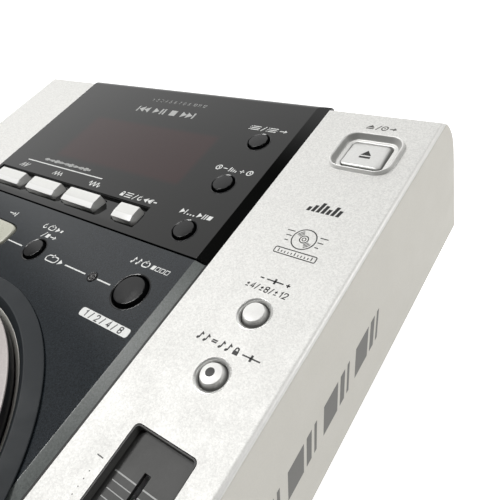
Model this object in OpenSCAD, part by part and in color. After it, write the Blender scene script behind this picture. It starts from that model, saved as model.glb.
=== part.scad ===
// Compact tabletop disc player for mixing: silver casing, dark display window and jog panel,
// a jog dial, round and oblong keys, a tempo slider and a front-loading slot mechanism.
// Frame: +X right, +Y towards the sockets at the rear, +Z up, origin at the centre of the base on the table.

/* [Casing] */
// Width of the casing
body_w = 218; // [214:1:222]
// Height of the flat silver deck above the table
deck_z = 102.6; // [102.6:0.1:103]
// Height of the silver shell's side walls
shell_h = 55.2; // [55:0.1:55.4]
// Wall thickness of the plastic shells
wall = 2.5; // [2.4:0.1:2.6]
// Radius of the rounded front and rear shoulders
shoulder_r = 24; // [22:0.5:25]

/* [Deck] */
// Height of the window and jog panel above the silver deck
proud = 0.7; // [0.5:0.1:0.9]
// Left edge of the dark column
col_x0 = -70.5; // [-70.7:0.1:-70.3]
// Right edge of the dark column
col_x1 = 66.2; // [66:0.1:66.4]
// Line where the flat top turns down into the right bevel
col_flat = 61.4; // [61:0.1:61.8]
// Seam between the display window and the jog panel
seam_y = 58.85; // [58.5:0.05:59.2]

/* [Jog wheel] */
// Jog wheel centre, left to right
jog_x = -2.5; // [-2.6:0.1:-2.4]
// Jog wheel centre, front to back
jog_y = -43.2; // [-43.4:0.1:-43]
// Radius of the jog dial
dial_r = 60.4; // [60.2:0.1:60.5]
// Outer radius of the fixed jog bezel
bezel_r = 69.4; // [69.2:0.1:69.6]
// Radius of the steel jog spindle
spindle_r = 3; // [2.9:0.05:3]

/* [Keys] */
// Radius of the small black keys on the display window
small_key_r = 4.1; // [4:0.05:4.2]
// Radius of the large black key
large_key_r = 5.95; // [5.8:0.05:6]
// Radius of the two silver tempo keys
tempo_key_r = 3.95; // [3.8:0.05:4]
// Radius of the play and cue keys
play_key_r = 12.5; // [12:0.1:12.6]
// Width of the white effect keys
effect_w = 19.4; // [19:0.1:19.6]
// Distance between neighbouring effect keys
effect_pitch = 24.9; // [24.8:0.05:25]

/* [Tempo slider] */
// Rear end of the slider recess
tray_y1 = 10.9; // [10.8:0.1:11]
// Length of the slider recess
tray_l = 83.2; // [83:0.1:83.4]
// Depth of the slider recess below the deck
tray_d = 2.6; // [2.4:0.1:2.8]
// Rest position of the slider knob, the middle of its travel
knob_y = -30.7; // [-31:0.1:-30.5]

/* [Disc mechanism] */
// Turntable centre, front to back
table_y = -62; // [-62.5:0.5:-61.5]
// Height of the disc's lower face
disc_z = 58.4; // [58.3:0.1:58.5]
// Module of the loading gears
gear_m = 0.5; // [0.5:0.005:0.505]

/* [Hidden] */
$fn = 48;
W2 = body_w / 2;
ZB = deck_z - shell_h;
YF = -148.2;
YR = 148.2;
UT = deck_z - wall;
ZF = deck_z + proud;
ZBV = deck_z - 0.5;
tray_x0 = 79.7;
tray_x1 = 100.0;
slot_x = 89.3;
tray_y0 = tray_y1 - tray_l;
tray_z = deck_z - tray_d;
rear_edge = 137.6;
sh_c = shoulder_r * cos(45);
key_y = 66.85;
key_x = -28.5;
hold_x = 22.2;
hold_w = 11;
// rounded rear lip of the display window
lip_r = 4.4;
lip_y = 136.7;
loop_y = 40.8;
board_z = 88;
ax_z = 53.7;
ax_y = -122;
g1 = 30;
g2 = 12;
pin_y = ax_y + gear_m * (g1 + g2) / 2 * cos(60);
pin_z = ax_z + gear_m * (g1 + g2) / 2 * sin(60);

// ---------- shared shapes ----------
module rr(w, d, r) {
    square([w, d - 2 * r], center = true);
    square([w - 2 * r, d], center = true);
    for (sx = [-1, 1], sy = [-1, 1]) translate([sx * (w / 2 - r), sy * (d / 2 - r)]) circle(r = r);
}
module rblock(x, y, w, d, z0, z1, r) translate([x, y, z0]) linear_extrude(z1 - z0) rr(w, d, r);
module block(x0, x1, y0, y1, z0, z1) translate([x0, y0, z0]) cube([x1 - x0, y1 - y0, z1 - z0]);
module cyl(x, y, r, z0, z1) translate([x, y, z0]) cylinder(r = r, h = z1 - z0);
module cylx(x0, x1, y, z, r) translate([x0, y, z]) rotate([0, 90, 0]) cylinder(r = r, h = x1 - x0);
module cyly(x, y0, y1, z, r) translate([x, y0, z]) rotate([-90, 0, 0]) cylinder(r = r, h = y1 - y0);
// a profile drawn in Y and Z, run along X
module along_x(x0, x1) translate([x0, 0, 0]) rotate([90, 0, 90]) linear_extrude(x1 - x0) children();
// a profile drawn in X and Z, run along Y
module along_y(y0, y1) translate([0, y1, 0]) rotate([90, 0, 0]) linear_extrude(y1 - y0) children();
// superellipse outline of the two loop keys
function sgn(v) = v < 0 ? -1 : 1;
module oval(a, b, n = 4, k = 64)
    polygon([for (i = [0:k - 1]) let (t = (i + 0.5) * 360 / k) [a * sgn(cos(t)) * pow(abs(cos(t)), 2 / n), b * sgn(sin(t)) * pow(abs(sin(t)), 2 / n)]]);
// spur gear outline, teeth with rounded-off play
module gear2d(n, m, ph) {
    rp = n * m / 2;
    p = 360 / n;
    polygon([for (i = [0:n - 1]) for (q = [[-0.30, -1.2], [-0.20, 0], [-0.10, 0.85], [0.10, 0.85], [0.20, 0], [0.30, -1.2]])
        let (a = ph + (i + q[0]) * p, r = rp + q[1] * m) [r * cos(a), r * sin(a)]]);
}

// a round key: cap with softened rim, retaining flange under the deck and a stem down to its switch
module round_key(x, y, r, top, under) translate([x, y, 0]) {
    rotate_extrude() polygon([[0, under - 1.9], [r, under - 1.9], [r, top - 0.75], [r - 0.1, top - 0.4], [r - 0.3, top - 0.12], [r - 0.6, top], [0, top]]);
    cylinder_at(r + 1.1, under - 1.9, under - 0.7);
    cylinder_at(1.6, 95.6, under - 1.5);
}
module cylinder_at(r, z0, z1) translate([0, 0, z0]) cylinder(r = r, h = z1 - z0);
// an oblong key with the same flange and stem
module bar_key(x, y, w, d, r, top, under) {
    rblock(x, y, w, d, under - 1.9, top - 0.4, r);
    rblock(x, y, w - 0.7, d - 0.7, top - 0.41, top, r - 0.3);
    rblock(x, y, w + 1.6, d + 1.6, under - 1.9, under - 0.7, r);
    cyl(x, y, 1.6, 95.6, under - 1.5);
}

// ---------- casing ----------
module side_profile() {
    polygon([[YF, ZB], [YR, ZB], [rear_edge - sh_c + shoulder_r * sin(84.8), deck_z - sh_c + shoulder_r * cos(84.8)], [rear_edge, deck_z],
        [YF + shoulder_r * (1 - cos(45)), deck_z], [YF, deck_z - sh_c]]);
    intersection() {
        translate([rear_edge - sh_c, deck_z - sh_c]) circle(r = shoulder_r, $fn = 96);
        translate([100, ZB]) square([60, deck_z - ZB]);
    }
    intersection() {
        translate([YF + shoulder_r, deck_z - sh_c]) circle(r = shoulder_r, $fn = 96);
        translate([-160, ZB]) square([60, deck_z - ZB]);
    }
}
module front_profile() {
    r = 1.6;
    translate([-W2, ZB]) square([body_w, shell_h - r]);
    translate([-W2 + r, ZB]) square([body_w - 2 * r, shell_h]);
    for (s = [-1, 1]) translate([s * (W2 - r), deck_z - r]) circle(r = r);
}
module top_case() color("silver") {
    difference() {
        union() {
            difference() {
                intersection() {
                    along_x(-W2, W2) side_profile();
                    along_y(-150, 150) front_profile();
                    translate([0, 0, ZB]) linear_extrude(shell_h) rr(body_w, 296.4, 4);
                }
                along_x(-W2 + wall, W2 - wall) polygon([[YF + wall, ZB - 1], [141.6, ZB - 1], [141.6, 86], [134, 97], [131, UT],
                    [-137, UT], [-143, 92], [YF + wall, 84]]);
            }
            // ledge that carries the display window and the jog panel
            block(col_x0 - 3, col_x1 + 3, -137, 136, UT - 2.4, UT + 0.01);
            // raised rim round the eject key
            rblock(90.4, 117.6, 21.4, 17.6, deck_z - 1, deck_z + 1.1, 4.8);
            // bosses for the case screws, on the side walls
            for (s = [-1, 1], y = [-128, 0, 128]) {
                cyl(s * 101.5, y, 5, ZB + 2.6, 78);
                block(s > 0 ? 101.5 : -107, s > 0 ? 107 : -101.5, y - 3, y + 3, ZB + 2.6, 78);
            }
            // posts for the control board
            for (p = [[-100, 118], [103.2, 98], [-100, 32], [103.2, 40], [-103.6, -60], [-77.5, -95]]) cyl(p[0], p[1], 2.4, board_z + 1.6, UT + 0.5);
        }
        // opening of the dark column
        block(col_x0, col_x1, -134.2, 136.95, UT, deck_z + 3);
        block(col_x0 + 3, col_x1 - 3, -131.2, 134, UT - 3, UT + 1);
        // seat of the window's rear lip
        block(col_x0, col_x1, 136.5, 142, 98.3, deck_z + 3);
        // eject key well, widening upwards in steps under its sloped lining
        rblock(90.4, 117.6, 15.2, 12.6, UT - 2, deck_z + 2, 2.4);
        for (t = [[17.6, 14.8, 3.4, -1.75], [18.2, 15.2, 3.6, -1.15], [18.8, 15.6, 3.8, -0.7], [19.5, 16.2, 4, -0.2], [20.3, 16.9, 4.3, 0.4]])
            rblock(90.4, 117.6, t[0], t[1], deck_z + t[3], deck_z + 2, t[2]);
        // tempo keys: hole with a chamfered rim
        for (y = [29.6, 49.6]) {
            cyl(89.8, y, 4.35, UT - 1, deck_z + 1);
            translate([89.8, y, deck_z - 0.7]) cylinder(r1 = 4.3, r2 = 5.05, h = 0.71);
        }
        // play, cue, track and search keys
        for (y = [-112, -78]) cyl(-90, y, play_key_r + 0.5, UT - 1, deck_z + 1);
        for (x = [-97.5, -82.5], y = [-43, -20]) rblock(x, y, 12.8, 8.8, UT - 1, deck_z + 1, 4.2);
        // slider recess
        rblock((tray_x0 + tray_x1) / 2, tray_y1 - tray_l / 2, tray_x1 - tray_x0 + 0.3, tray_l + 0.3, UT - 1, deck_z + 1, 1.6);
        // disc slot surround
        block(-70.2, 70.2, YF - 1, YF + 6, 53.8, 66.2);
        // socket bay at the rear
        block(-98, 98, 138, 150, 51.5, 80);
        for (s = [-1, 1], y = [-128, 0, 128]) cyl(s * 101.5, y, 1.5, ZB, 62);
    }
}
module lower_case() color("dimgray") difference() {
    union() {
        difference() {
            union() {
                block(-W2 + wall + 0.2, W2 - wall - 0.2, YF + wall + 0.4, 141.3, ZB + 0.2, ZB + 2.6);
                translate([0, 0, 14]) linear_extrude(ZB + 2.6 - 14) rr(189, 267, 6);
            }
            translate([0, 0, 16.5]) linear_extrude(60) rr(184, 262, 4);
        }
        // posts that carry the dampers of the disc mechanism
        for (sx = [-1, 1], y = [-108, 10]) cyl(sx * 66, y, 4.5, 16, 43);
    }
    // cooling slots in the floor
    for (s = [-1, 1], i = [0:11]) block(s * 40 - 18, s * 40 + 18, -66 + i * 12, -63 + i * 12, 13, 18);
    for (s = [-1, 1], y = [-128, 0, 128]) cyl(s * 101.5, y, 1.7, ZB - 1, ZB + 4);
    // foot screw recesses
    for (sx = [-1, 1], sy = [-1, 1]) cyl(sx * 74, sy * 110, 3, 13, 18);
}
module feet() color("black") for (sx = [-1, 1], sy = [-1, 1]) translate([sx * 74, sy * 110, 0]) {
    rotate_extrude() polygon([[4, 0], [12.4, 0], [13, 0.6], [14.6, 13], [14.6, 14], [3.2, 14], [3.2, 4], [4, 4]]);
    cylinder_at(2.8, 4, 17.5);
    cylinder_at(3.2, 4, 6.5);
}
module case_screws() color("gray") for (s = [-1, 1], y = [-128, 0, 128]) translate([s * 101.5, y, 0]) difference() {
    union() {
        cylinder_at(3.1, ZB - 2, ZB + 0.2);
        cylinder_at(1.45, ZB, 60);
    }
    for (a = [0, 90]) rotate([0, 0, a]) block(-1.8, 1.8, -0.35, 0.35, ZB - 3, ZB - 1);
}
module rear_panel() color("black") difference() {
    block(-101, 101, 140.2, 141.6, 50.2, 82);
    for (x = [28, 46]) cyly(x, 139, 143, 65, 5.2);
    cyly(70, 139, 143, 65, 3.2);
    block(-61.2, -38.8, 139, 143, 58.8, 71.2);
    block(-90.7, -73.3, 139, 143, 58.3, 71.7);
}
// window with a stepped pocket for the white keys and a bevel down its right side
module column_profile() polygon([[col_x0 + 0.2, UT + 0.1], [col_x1 - 0.2, UT + 0.1], [col_x1 - 0.2, ZBV], [col_flat, ZF], [col_x0 + 0.2, ZF]]);
module display_window() color("darkslategray") difference() {
    union() {
        along_y(seam_y + 0.35, lip_y) column_profile();
        // rounded lip that folds over the casing's rear edge
        intersection() {
            along_y(lip_y - 0.1, 142) polygon([[col_x0 + 0.2, 98.4], [col_x1 - 0.2, 98.4], [col_x1 - 0.2, ZBV], [col_flat, ZF], [col_x0 + 0.2, ZF]]);
            along_x(col_x0, col_x1) {
                translate([lip_y, ZF - lip_r]) circle(r = lip_r, $fn = 96);
                translate([lip_y - 0.1, 98.4]) square([lip_r + 0.1, ZF - lip_r - 98.4]);
            }
        }
    }
    // pocket of the white keys, its floor falling to a stepped rear wall
    along_x(-68.4, 29) polygon([[61.0, ZF + 0.01], [61.0, ZF + 1], [72.5, ZF + 1], [72.5, ZF - 0.45], [72.1, ZF - 0.55], [72.0, ZF - 1.4], [71.4, ZF - 1.4]]);
    for (i = [-1:1]) rblock(key_x + i * effect_pitch, key_y, effect_w + 1.2, 7.6, UT - 1, ZF + 1, 0.9);
    rblock(hold_x, key_y, hold_w + 1.2, 7.6, UT - 1, ZF + 1, 0.9);
    for (p = [[49.1, 114.1], [49.2, 90.7], [49.3, 67.7]]) cyl(p[0], p[1], 4.6, UT - 1, ZF + 1);
}
module jog_panel() color("slategray") difference() {
    union() {
        along_y(-134, seam_y - 0.35) column_profile();
        // tongue under the window's front edge
        block(-66, 61, seam_y - 6, seam_y + 2.2, UT - 1.6, UT + 0.1);
        translate([0, 0, 0]) cyl(jog_x, jog_y, 63.4, 90, UT + 0.5);
        cyl(jog_x, jog_y, 9.5, 78, 90.5);
    }
    translate([jog_x, jog_y, 101]) cylinder(r = 61.5, h = 5, $fn = 96);
    translate([jog_x, jog_y, 92]) cylinder(r = 60.2, h = 9.5, $fn = 96);
    cyl(jog_x, jog_y, 6, 70, 95);
    for (x = [-55.7, -30.7]) translate([x, loop_y, UT - 2]) linear_extrude(8) oval(10.9, 6.2);
    cyl(-2.9, loop_y, 4.9, UT - 1, ZF + 1);
    cyl(48.7, loop_y, large_key_r + 0.6, UT - 1, ZF + 1);
    cyl(31, loop_y - 0.7, 1.95, UT - 1, ZF + 1);
}
module jog_bezel() color("dimgray") translate([jog_x, jog_y, 0]) rotate_extrude($fn = 96)
    polygon([[61.5, ZF], [bezel_r - 1.0, ZF], [bezel_r - 0.8, ZF + 0.25], [bezel_r - 0.1, ZF + 0.25], [bezel_r, ZF + 0.35], [bezel_r, ZF + 0.6], [bezel_r - 0.2, ZF + 0.72],
        [64.3, deck_z + 3.0], [64.0, deck_z + 3.0], [61.5, ZF + 0.35]]);
module jog_trim_ring() color("gainsboro") translate([jog_x, jog_y, 0]) rotate_extrude($fn = 96)
    polygon([[59.6, 101], [61.4, 101], [61.4, ZF + 0.1], [61.2, ZF + 0.1], [59.6, deck_z]]);
module jog_dial() color("black") translate([jog_x, jog_y, 0]) rotate_extrude($fn = 96)
    polygon([[spindle_r, 93.3], [8.5, 93.3], [8.5, 103], [56.4, 103], [56.4, 93.5], [58.9, 93.5], [58.9, 103.9], [dial_r - 0.2, 103.9],
        [dial_r - 0.2, 107], [dial_r - 1.2, 107], [dial_r - 1.2, 105.6], [spindle_r, 105.6]]);
module jog_plate() color("rosybrown") translate([jog_x, jog_y, 0]) difference() {
    rotate_extrude($fn = 96) polygon([[0, 105.6], [dial_r - 1.3, 105.6], [dial_r - 1.3, 107], [dial_r, 107], [dial_r, deck_z + 4.65], [dial_r - 0.15, deck_z + 4.8],
        [21, deck_z + 4.8], [20.6, deck_z + 4.5], [0, deck_z + 4.5]]);
    // finger dimple
    translate([42 * cos(-60), 42 * sin(-60), deck_z + 4.8 + 28.7]) sphere(r = 30, $fn = 64);
}
module jog_spindle() color("lightgray") difference() {
    cyl(jog_x, jog_y, spindle_r, 73, 105.4);
    translate([jog_x, jog_y, 75.6]) rotate_extrude() translate([spindle_r - 0.4, 0]) square([1, 0.8]);
}
module jog_bush() color("goldenrod") difference() {
    union() {
        cyl(jog_x, jog_y, 6, 78, 92.5);
        cyl(jog_x, jog_y, 8, 92, 93);
    }
    cyl(jog_x, jog_y, spindle_r + 0.05, 77, 94);
}
module jog_encoder_disc() color("gray") difference() {
    union() {
        cyl(jog_x, jog_y, 22, 74, 74.6);
        cyl(jog_x, jog_y, 6, 73.2, 75.4);
    }
    cyl(jog_x, jog_y, spindle_r, 72, 77);
    for (a = [0:12:359]) translate([jog_x, jog_y, 0]) rotate([0, 0, a]) block(15, 20.5, -0.6, 0.6, 73.5, 75);
}

// ---------- tempo slider ----------
module slider_tray() color("dimgray") difference() {
    rblock((tray_x0 + tray_x1) / 2, tray_y1 - tray_l / 2, tray_x1 - tray_x0, tray_l, tray_z - 1.2, deck_z - 0.05, 1.5);
    rblock((tray_x0 + tray_x1) / 2, tray_y1 - tray_l / 2, tray_x1 - tray_x0 - 1.0, tray_l - 1.0, tray_z, deck_z + 1, 1.1);
    block(slot_x - 1, slot_x + 1, -64.2, 2.7, 97, 101);
}
module slider_track() color("lightgray") difference() {
    block(83, 95.6, -71, 9.6, 88, tray_z - 1.2);
    block(85.6, 93, -69, 7.6, 89.4, tray_z - 2.4);
    block(slot_x - 1.3, slot_x + 1.3, -67, 5.6, 96, 100);
}
module slider_knob() color("black") translate([slot_x, knob_y, 0]) {
    block(-3, 3, -4.6, 4.6, 90, 96.4);
    block(-0.6, 0.6, -2.6, 2.6, 96, tray_z + 1);
    difference() {
        union() {
            translate([0, 0, tray_z + 0.4]) linear_extrude(3) rr(16.4, 13, 1.5);
            along_x(-7.2, 7.2) polygon([[-5.6, tray_z + 3.3], [5.6, tray_z + 3.3], [4.2, 107.6], [3.4, 108.0], [-3.4, 108.0], [-4.2, 107.6]]);
        }
        along_x(-8, 8) polygon([[-0.35, 107.6], [0.35, 107.6], [0.35, 109], [-0.35, 109]]);
    }
}

// ---------- disc slot ----------
module slot_bezel() color("black") difference() {
    union() {
        block(-70, 70, YF + 0.4, YF + 2.4, 54, 66);
        block(-67, 67, YF + 2, YF + 9, 55.6, 64.4);
    }
    block(-64, 64, YF - 1, YF + 12, 57, 63);
}
module slot_felt() color("darkslategray") {
    block(-64, 64, YF + 3, YF + 6, 57, 57.5);
    block(-64, 64, YF + 3, YF + 6, 62.5, 63);
}

// ---------- keys ----------
module eject_key() color("gainsboro") {
    intersection() {
        along_x(82, 99) polygon([[111.6, UT - 1.9], [123.6, UT - 1.9], [123.6, 100.9], [122.4, 101.9], [120.4, 102.3], [112.4, 102.3], [111.6, 101.7]]);
        along_y(110, 125) polygon([[83.2, UT - 1.9], [97.6, UT - 1.9], [97.6, 101.2], [96.6, 102.3], [84.2, 102.3], [83.2, 101.4]]);
        rblock(90.4, 117.6, 14.4, 11.8, 90, 110, 2.0);
    }
    rblock(90.4, 117.6, 16.6, 13.8, UT - 1.9, UT - 0.7, 2.5);
    cyl(90.4, 117.6, 1.6, 95.6, UT - 1.5);
}
module effect_key(x, w) {
    difference() {
        rblock(x, key_y, w, 6.5, UT - 1.7, deck_z + 2.65, 0.5);
        // sloped front face
        along_x(x - w, x + w) polygon([[65.8, deck_z + 2.66], [60, deck_z + 0.4], [60, deck_z + 5], [65.8, deck_z + 5]]);
        // drafted ends
        for (s = [0, 1]) translate([x, 0, 0]) mirror([s, 0, 0]) along_y(60, 74) polygon([[w / 2 - 0.6, deck_z + 2.66], [w / 2 + 0.01, ZF], [w, ZF], [w, deck_z + 5], [w / 2 - 0.6, deck_z + 5]]);
    }
    rblock(x, key_y, w + 1.4, 8.0, UT - 1.7, UT - 0.6, 0.5);
    cyl(x, key_y, 1.6, 95.6, UT - 1.5);
}
module effect_key_left() color("white") effect_key(key_x - effect_pitch, effect_w);
module effect_key_middle() color("white") effect_key(key_x, effect_w);
module effect_key_right() color("white") effect_key(key_x + effect_pitch, effect_w);
module hold_key() color("white") effect_key(hold_x, hold_w);
module display_key_rear() color("black") round_key(49.1, 114.1, small_key_r, deck_z + 1.6, UT);
module display_key_middle() color("black") round_key(49.2, 90.7, small_key_r, deck_z + 1.6, UT);
module display_key_front() color("black") round_key(49.3, 67.7, small_key_r, deck_z + 1.6, UT);
module loop_key(x) {
    translate([x, loop_y, UT - 1.9]) linear_extrude(deck_z + 1.3 - UT + 1.9) oval(10.4, 5.7);
    translate([x, loop_y, deck_z + 1.29]) linear_extrude(0.4) oval(9.9, 5.2);
    translate([x, loop_y, UT - 1.9]) linear_extrude(1.2) oval(11.7, 7);
    cyl(x, loop_y, 1.6, 95.6, UT - 1.5);
}
module loop_in_key() color("ivory") loop_key(-55.7);
module loop_out_key() color("ivory") loop_key(-30.7);
module reloop_key() color("black") round_key(-2.9, loop_y, 4.35, deck_z + 1.6, UT);
module beat_loop_key() color("black") round_key(48.7, loop_y, large_key_r, deck_z + 1.65, UT);
module loop_lamp() color("maroon") translate([31, loop_y - 0.7, 0]) {
    rotate_extrude() polygon([[0, 91], [1.85, 91], [1.85, ZF + 0.1], [1.5, ZF + 0.3], [0, ZF + 0.4]]);
    cylinder_at(2.5, 91, 93);
}
module tempo_range_key() color("whitesmoke") round_key(89.8, 49.6, tempo_key_r, deck_z + 1.0, UT);
module tempo_lock_key() color("whitesmoke") round_key(89.8, 29.6, tempo_key_r, deck_z + 1.0, UT);
module play_key() color("whitesmoke") round_key(-90, -112, play_key_r, deck_z + 2.4, UT);
module cue_key() color("whitesmoke") round_key(-90, -78, play_key_r, deck_z + 2.4, UT);
module track_back_key() color("dimgray") bar_key(-97.5, -43, 12, 8, 3.9, deck_z + 1.6, UT);
module track_next_key() color("dimgray") bar_key(-82.5, -43, 12, 8, 3.9, deck_z + 1.6, UT);
module search_back_key() color("dimgray") bar_key(-97.5, -20, 12, 8, 3.9, deck_z + 1.6, UT);
module search_next_key() color("dimgray") bar_key(-82.5, -20, 12, 8, 3.9, deck_z + 1.6, UT);

// ---------- electronics ----------
key_spots = [[90.4, 117.6], [key_x - effect_pitch, key_y], [key_x, key_y], [key_x + effect_pitch, key_y], [hold_x, key_y], [49.1, 114.1], [49.2, 90.7], [49.3, 67.7],
    [-55.7, loop_y], [-30.7, loop_y], [-2.9, loop_y], [48.7, loop_y], [89.8, 49.6], [89.8, 29.6],
    [-90, -112], [-90, -78], [-97.5, -43], [-82.5, -43], [-97.5, -20], [-82.5, -20]];
module control_board() color("darkgreen") difference() {
    union() {
        block(-104, 105.6, 24, 130, board_z, board_z + 1.6);
        block(-105.6, -69.5, -129, 24.5, board_z, board_z + 1.6);
        // press switches, one under each key, drawn with their plungers pushed in
        for (p = key_spots) {
            block(p[0] - 3, p[0] + 3, p[1] - 3, p[1] + 3, board_z + 1, 93.4);
            cyl(p[0], p[1], 1.6, 93, 94.4);
        }
        block(-20, 20, 56, 60, board_z + 1, 92.5);
    }
    for (s = [[-100, 118], [103.2, 98], [-100, 32], [103.2, 40], [-103.6, -60], [-77.5, -95]]) cyl(s[0], s[1], 1.2, 80, board_z + 0.8);
}
module display_module() color("dimgray") difference() {
    block(-45, 34, 82.5, 116, board_z + 1.6, 99.6);
    block(-43, 32, 84.5, 114, 98.8, 100);
}
module main_board() color("darkgreen") {
    block(-86, 86, 22, 126, 22, 23.6);
    for (p = [[-60, 50], [-20, 52], [24, 96], [62, 60]]) block(p[0] - 9, p[0] + 9, p[1] - 9, p[1] + 9, 23.5, 25.6);
    for (p = [[-70, 100], [-50, 100], [-30, 100], [60, 108], [76, 108]]) cyl(p[0], p[1], 6, 23.5, 40);
    for (x = [-60, 60]) block(x - 12, x + 12, 29, 34, 23.5, 31);
    for (sx = [-1, 1], y = [28, 120]) cyl(sx * 80, y, 3, 16.5, 22.1);
}
module power_supply() color("olive") {
    block(-58, 58, -112, -22, 20.5, 22.1);
    block(-46, -8, -96, -56, 22, 35.5);
    for (x = [8, 26, 44]) cyl(x, -92, 7, 22, 35.5);
    block(8, 50, -70, -66, 22, 35);
    block(-46, -20, -44, -34, 22, 30);
    for (sx = [-1, 1], y = [-106, -28]) cyl(sx * 52, y, 3, 16.5, 20.6);
}

// ---------- disc mechanism ----------
module mech_chassis() color("lightsteelblue") difference() {
    union() {
        block(-72, 72, -136, 22, 50, 51.2);
        for (s = [-1, 1]) block(s > 0 ? 70.8 : -72, s > 0 ? 72 : -70.8, -136, 22, 50, 68);
        block(-72, 72, -136, 22, 66.8, 68);
        // bracket of the loading motor
        block(76.4, 77.6, -136, -100, 50, 74);
        block(71, 77.6, -101.2, -100, 50, 68);
        // lugs of the guide rods and the lead screw
        for (s = [-1, 1], y = [-46, 18]) block(s * 17 - 3, s * 17 + 3, y, y + 2, 51, 56.8);
        block(23.5, 30.5, -46, -44, 51, 57);
        block(22, 34, 20, 22, 51, 60);
    }
    // roller window, gear clearance, turntable and sled openings
    block(-62, 62, ax_y - 5, ax_y + 5, 49, 52);
    cyl(0, table_y, 18, 49, 52);
    block(-13, 13, -50, 10, 49, 52);
    // windows in the top plate, with the clamp bridge between them
    block(-62, 62, -128, -84, 66, 69);
    block(-62, 62, -40, 14, 66, 69);
    cyl(0, table_y, 4.9, 66, 69);
    cylx(-73, 73, ax_y, ax_z, 1.55);
    cylx(76, 78, pin_y, pin_z, 3);
    for (s = [-1, 1]) cyly(s * 17, -47, 21, 54, 1.5);
    cyly(27, -47, 23, 54, 1.55);
    for (sx = [-1, 1], y = [-108, 10]) cyl(sx * 66, y, 2, 49, 52);
}
module mech_dampers() color("black") for (sx = [-1, 1], y = [-108, 10]) translate([sx * 66, y, 0]) {
    rotate_extrude() polygon([[0, 43], [5, 43], [5.5, 44.5], [4.2, 47], [5.5, 49], [5.5, 50], [0, 50]]);
    cylinder_at(1.95, 49.9, 51.6);
}
module loading_roller() color("black") difference() {
    cylx(-60, 60, ax_y, ax_z, 3.8);
    cylx(-61, 61, ax_y, ax_z, 1.5);
}
module roller_axle() color("lightgray") cylx(-73, 76.1, ax_y, ax_z, 1.5);
module roller_gear() color("ivory") difference() {
    translate([73, ax_y, ax_z]) rotate([90, 0, 90]) linear_extrude(2.6) gear2d(g1, gear_m, 0);
    cylx(70, 80, ax_y, ax_z, 1.5);
    for (a = [0:60:300]) translate([70, ax_y, ax_z]) rotate([a, 0, 0]) translate([0, 5, 0]) rotate([0, 90, 0]) cylinder(r = 1.4, h = 9);
}
module loading_motor() color("silver") difference() {
    union() {
        cylx(77.6, 94, pin_y, pin_z, 7.9);
        cylx(77, 77.7, pin_y, pin_z, 2.95);
    }
    cylx(76, 90, pin_y, pin_z, 0.85);
}
module motor_pinion() color("goldenrod") {
    translate([73.1, pin_y, pin_z]) rotate([90, 0, 90]) linear_extrude(2.6) gear2d(g2, gear_m, 15);
    cylx(75, 88, pin_y, pin_z, 0.8);
}
module spindle_motor() color("gray") difference() {
    union() {
        cyl(0, table_y, 13, 40, 49.5);
        cyl(0, table_y, 20.5, 49, 50);
    }
    cyl(0, table_y, 1.05, 41, 51);
    for (a = [45:90:315]) translate([0, table_y, 0]) rotate([0, 0, a]) translate([19.2, 0, 48]) cylinder(r = 0.7, h = 3);
}
module turntable() color("dimgray") translate([0, table_y, 0]) {
    cylinder_at(15, disc_z - 1.6, disc_z);
    rotate_extrude() polygon([[0, disc_z - 0.1], [7.4, disc_z - 0.1], [7.4, disc_z + 1.2], [6.4, disc_z + 2.1], [0, disc_z + 2.1]]);
    cylinder_at(5, 50.5, disc_z - 1.5);
    cylinder_at(1, 42, 51);
}
module clamp_disc() color("ivory") translate([0, table_y, 0]) {
    rotate_extrude() polygon([[7.9, 62.9], [14.5, 62.9], [15, 63.4], [15, 65.5], [0, 65.5], [0, 64.4], [7.9, 64.4]]);
    cylinder_at(4.6, 65.4, 71.6);
    cylinder_at(7, 71.4, 72.4);
}
module laser_sled() color("dimgray") difference() {
    union() {
        block(-21, 21, -43, -22, 52.2, 56.4);
        block(20, 31, -40, -30, 52.2, 56.4);
        cyl(0, -38, 4, 56, 57.3);
    }
    for (s = [-1, 1]) cyly(s * 17, -44, -21, 54, 1.55);
    cyly(27, -44, -21, 54, 1.6);
    cyl(0, -38, 2.6, 57, 58);
}
module guide_rods() color("lightgray") for (s = [-1, 1]) cyly(s * 17, -46, 20, 54, 1.5);
module lead_screw() color("lightgray") {
    cyly(27, -45.8, 26, 54, 1.5);
}
module sled_motor() color("silver") difference() {
    cyly(27, 22, 38, 54, 6);
    cyly(27, 21, 30, 54, 1.55);
}

// ---------- rear ----------
module socket(x) difference() {
    union() {
        cyly(x, 136, 148, 65, 4.15);
        cyly(x, 141.6, 142.8, 65, 6.2);
        block(x - 6, x + 6, 130, 140.2, 59, 71);
    }
    difference() {
        cyly(x, 142, 149, 65, 3.3);
        cyly(x, 141, 147.6, 65, 2.6);
    }
    cyly(x, 140, 149, 65, 1.6);
}
module rear_sockets() color("gold") {
    for (x = [28, 46]) socket(x);
    // control socket for a small plug
    difference() {
        union() {
            cyly(70, 136, 144.5, 65, 3.1);
            cyly(70, 141.6, 143.4, 65, 4.4);
            block(65, 75, 128, 140.2, 60, 70);
        }
        cyly(70, 131, 146, 65, 1.8);
    }
    // two-pin mains inlet
    difference() {
        union() {
            block(-61, -39, 124, 143.4, 59, 71);
            block(-64.5, -35.5, 141.6, 143.4, 57, 73);
        }
        for (x = [-54.3, -45.7]) cyly(x, 128, 145, 65, 4.2);
        block(-54.3, -45.7, 128, 145, 60.8, 69.2);
    }
    for (x = [-54.3, -45.7]) cyly(x, 126, 140, 65, 1.2);
    // frame of the power switch
    difference() {
        union() {
            block(-90.5, -73.5, 128, 143.4, 58.5, 71.5);
            block(-92.5, -71.5, 141.6, 143.4, 56.5, 73.5);
        }
        block(-88.5, -75.5, 130, 145, 60, 70);
    }
    cylx(-88.6, -75.4, 139, 65, 1.05);
}
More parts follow.
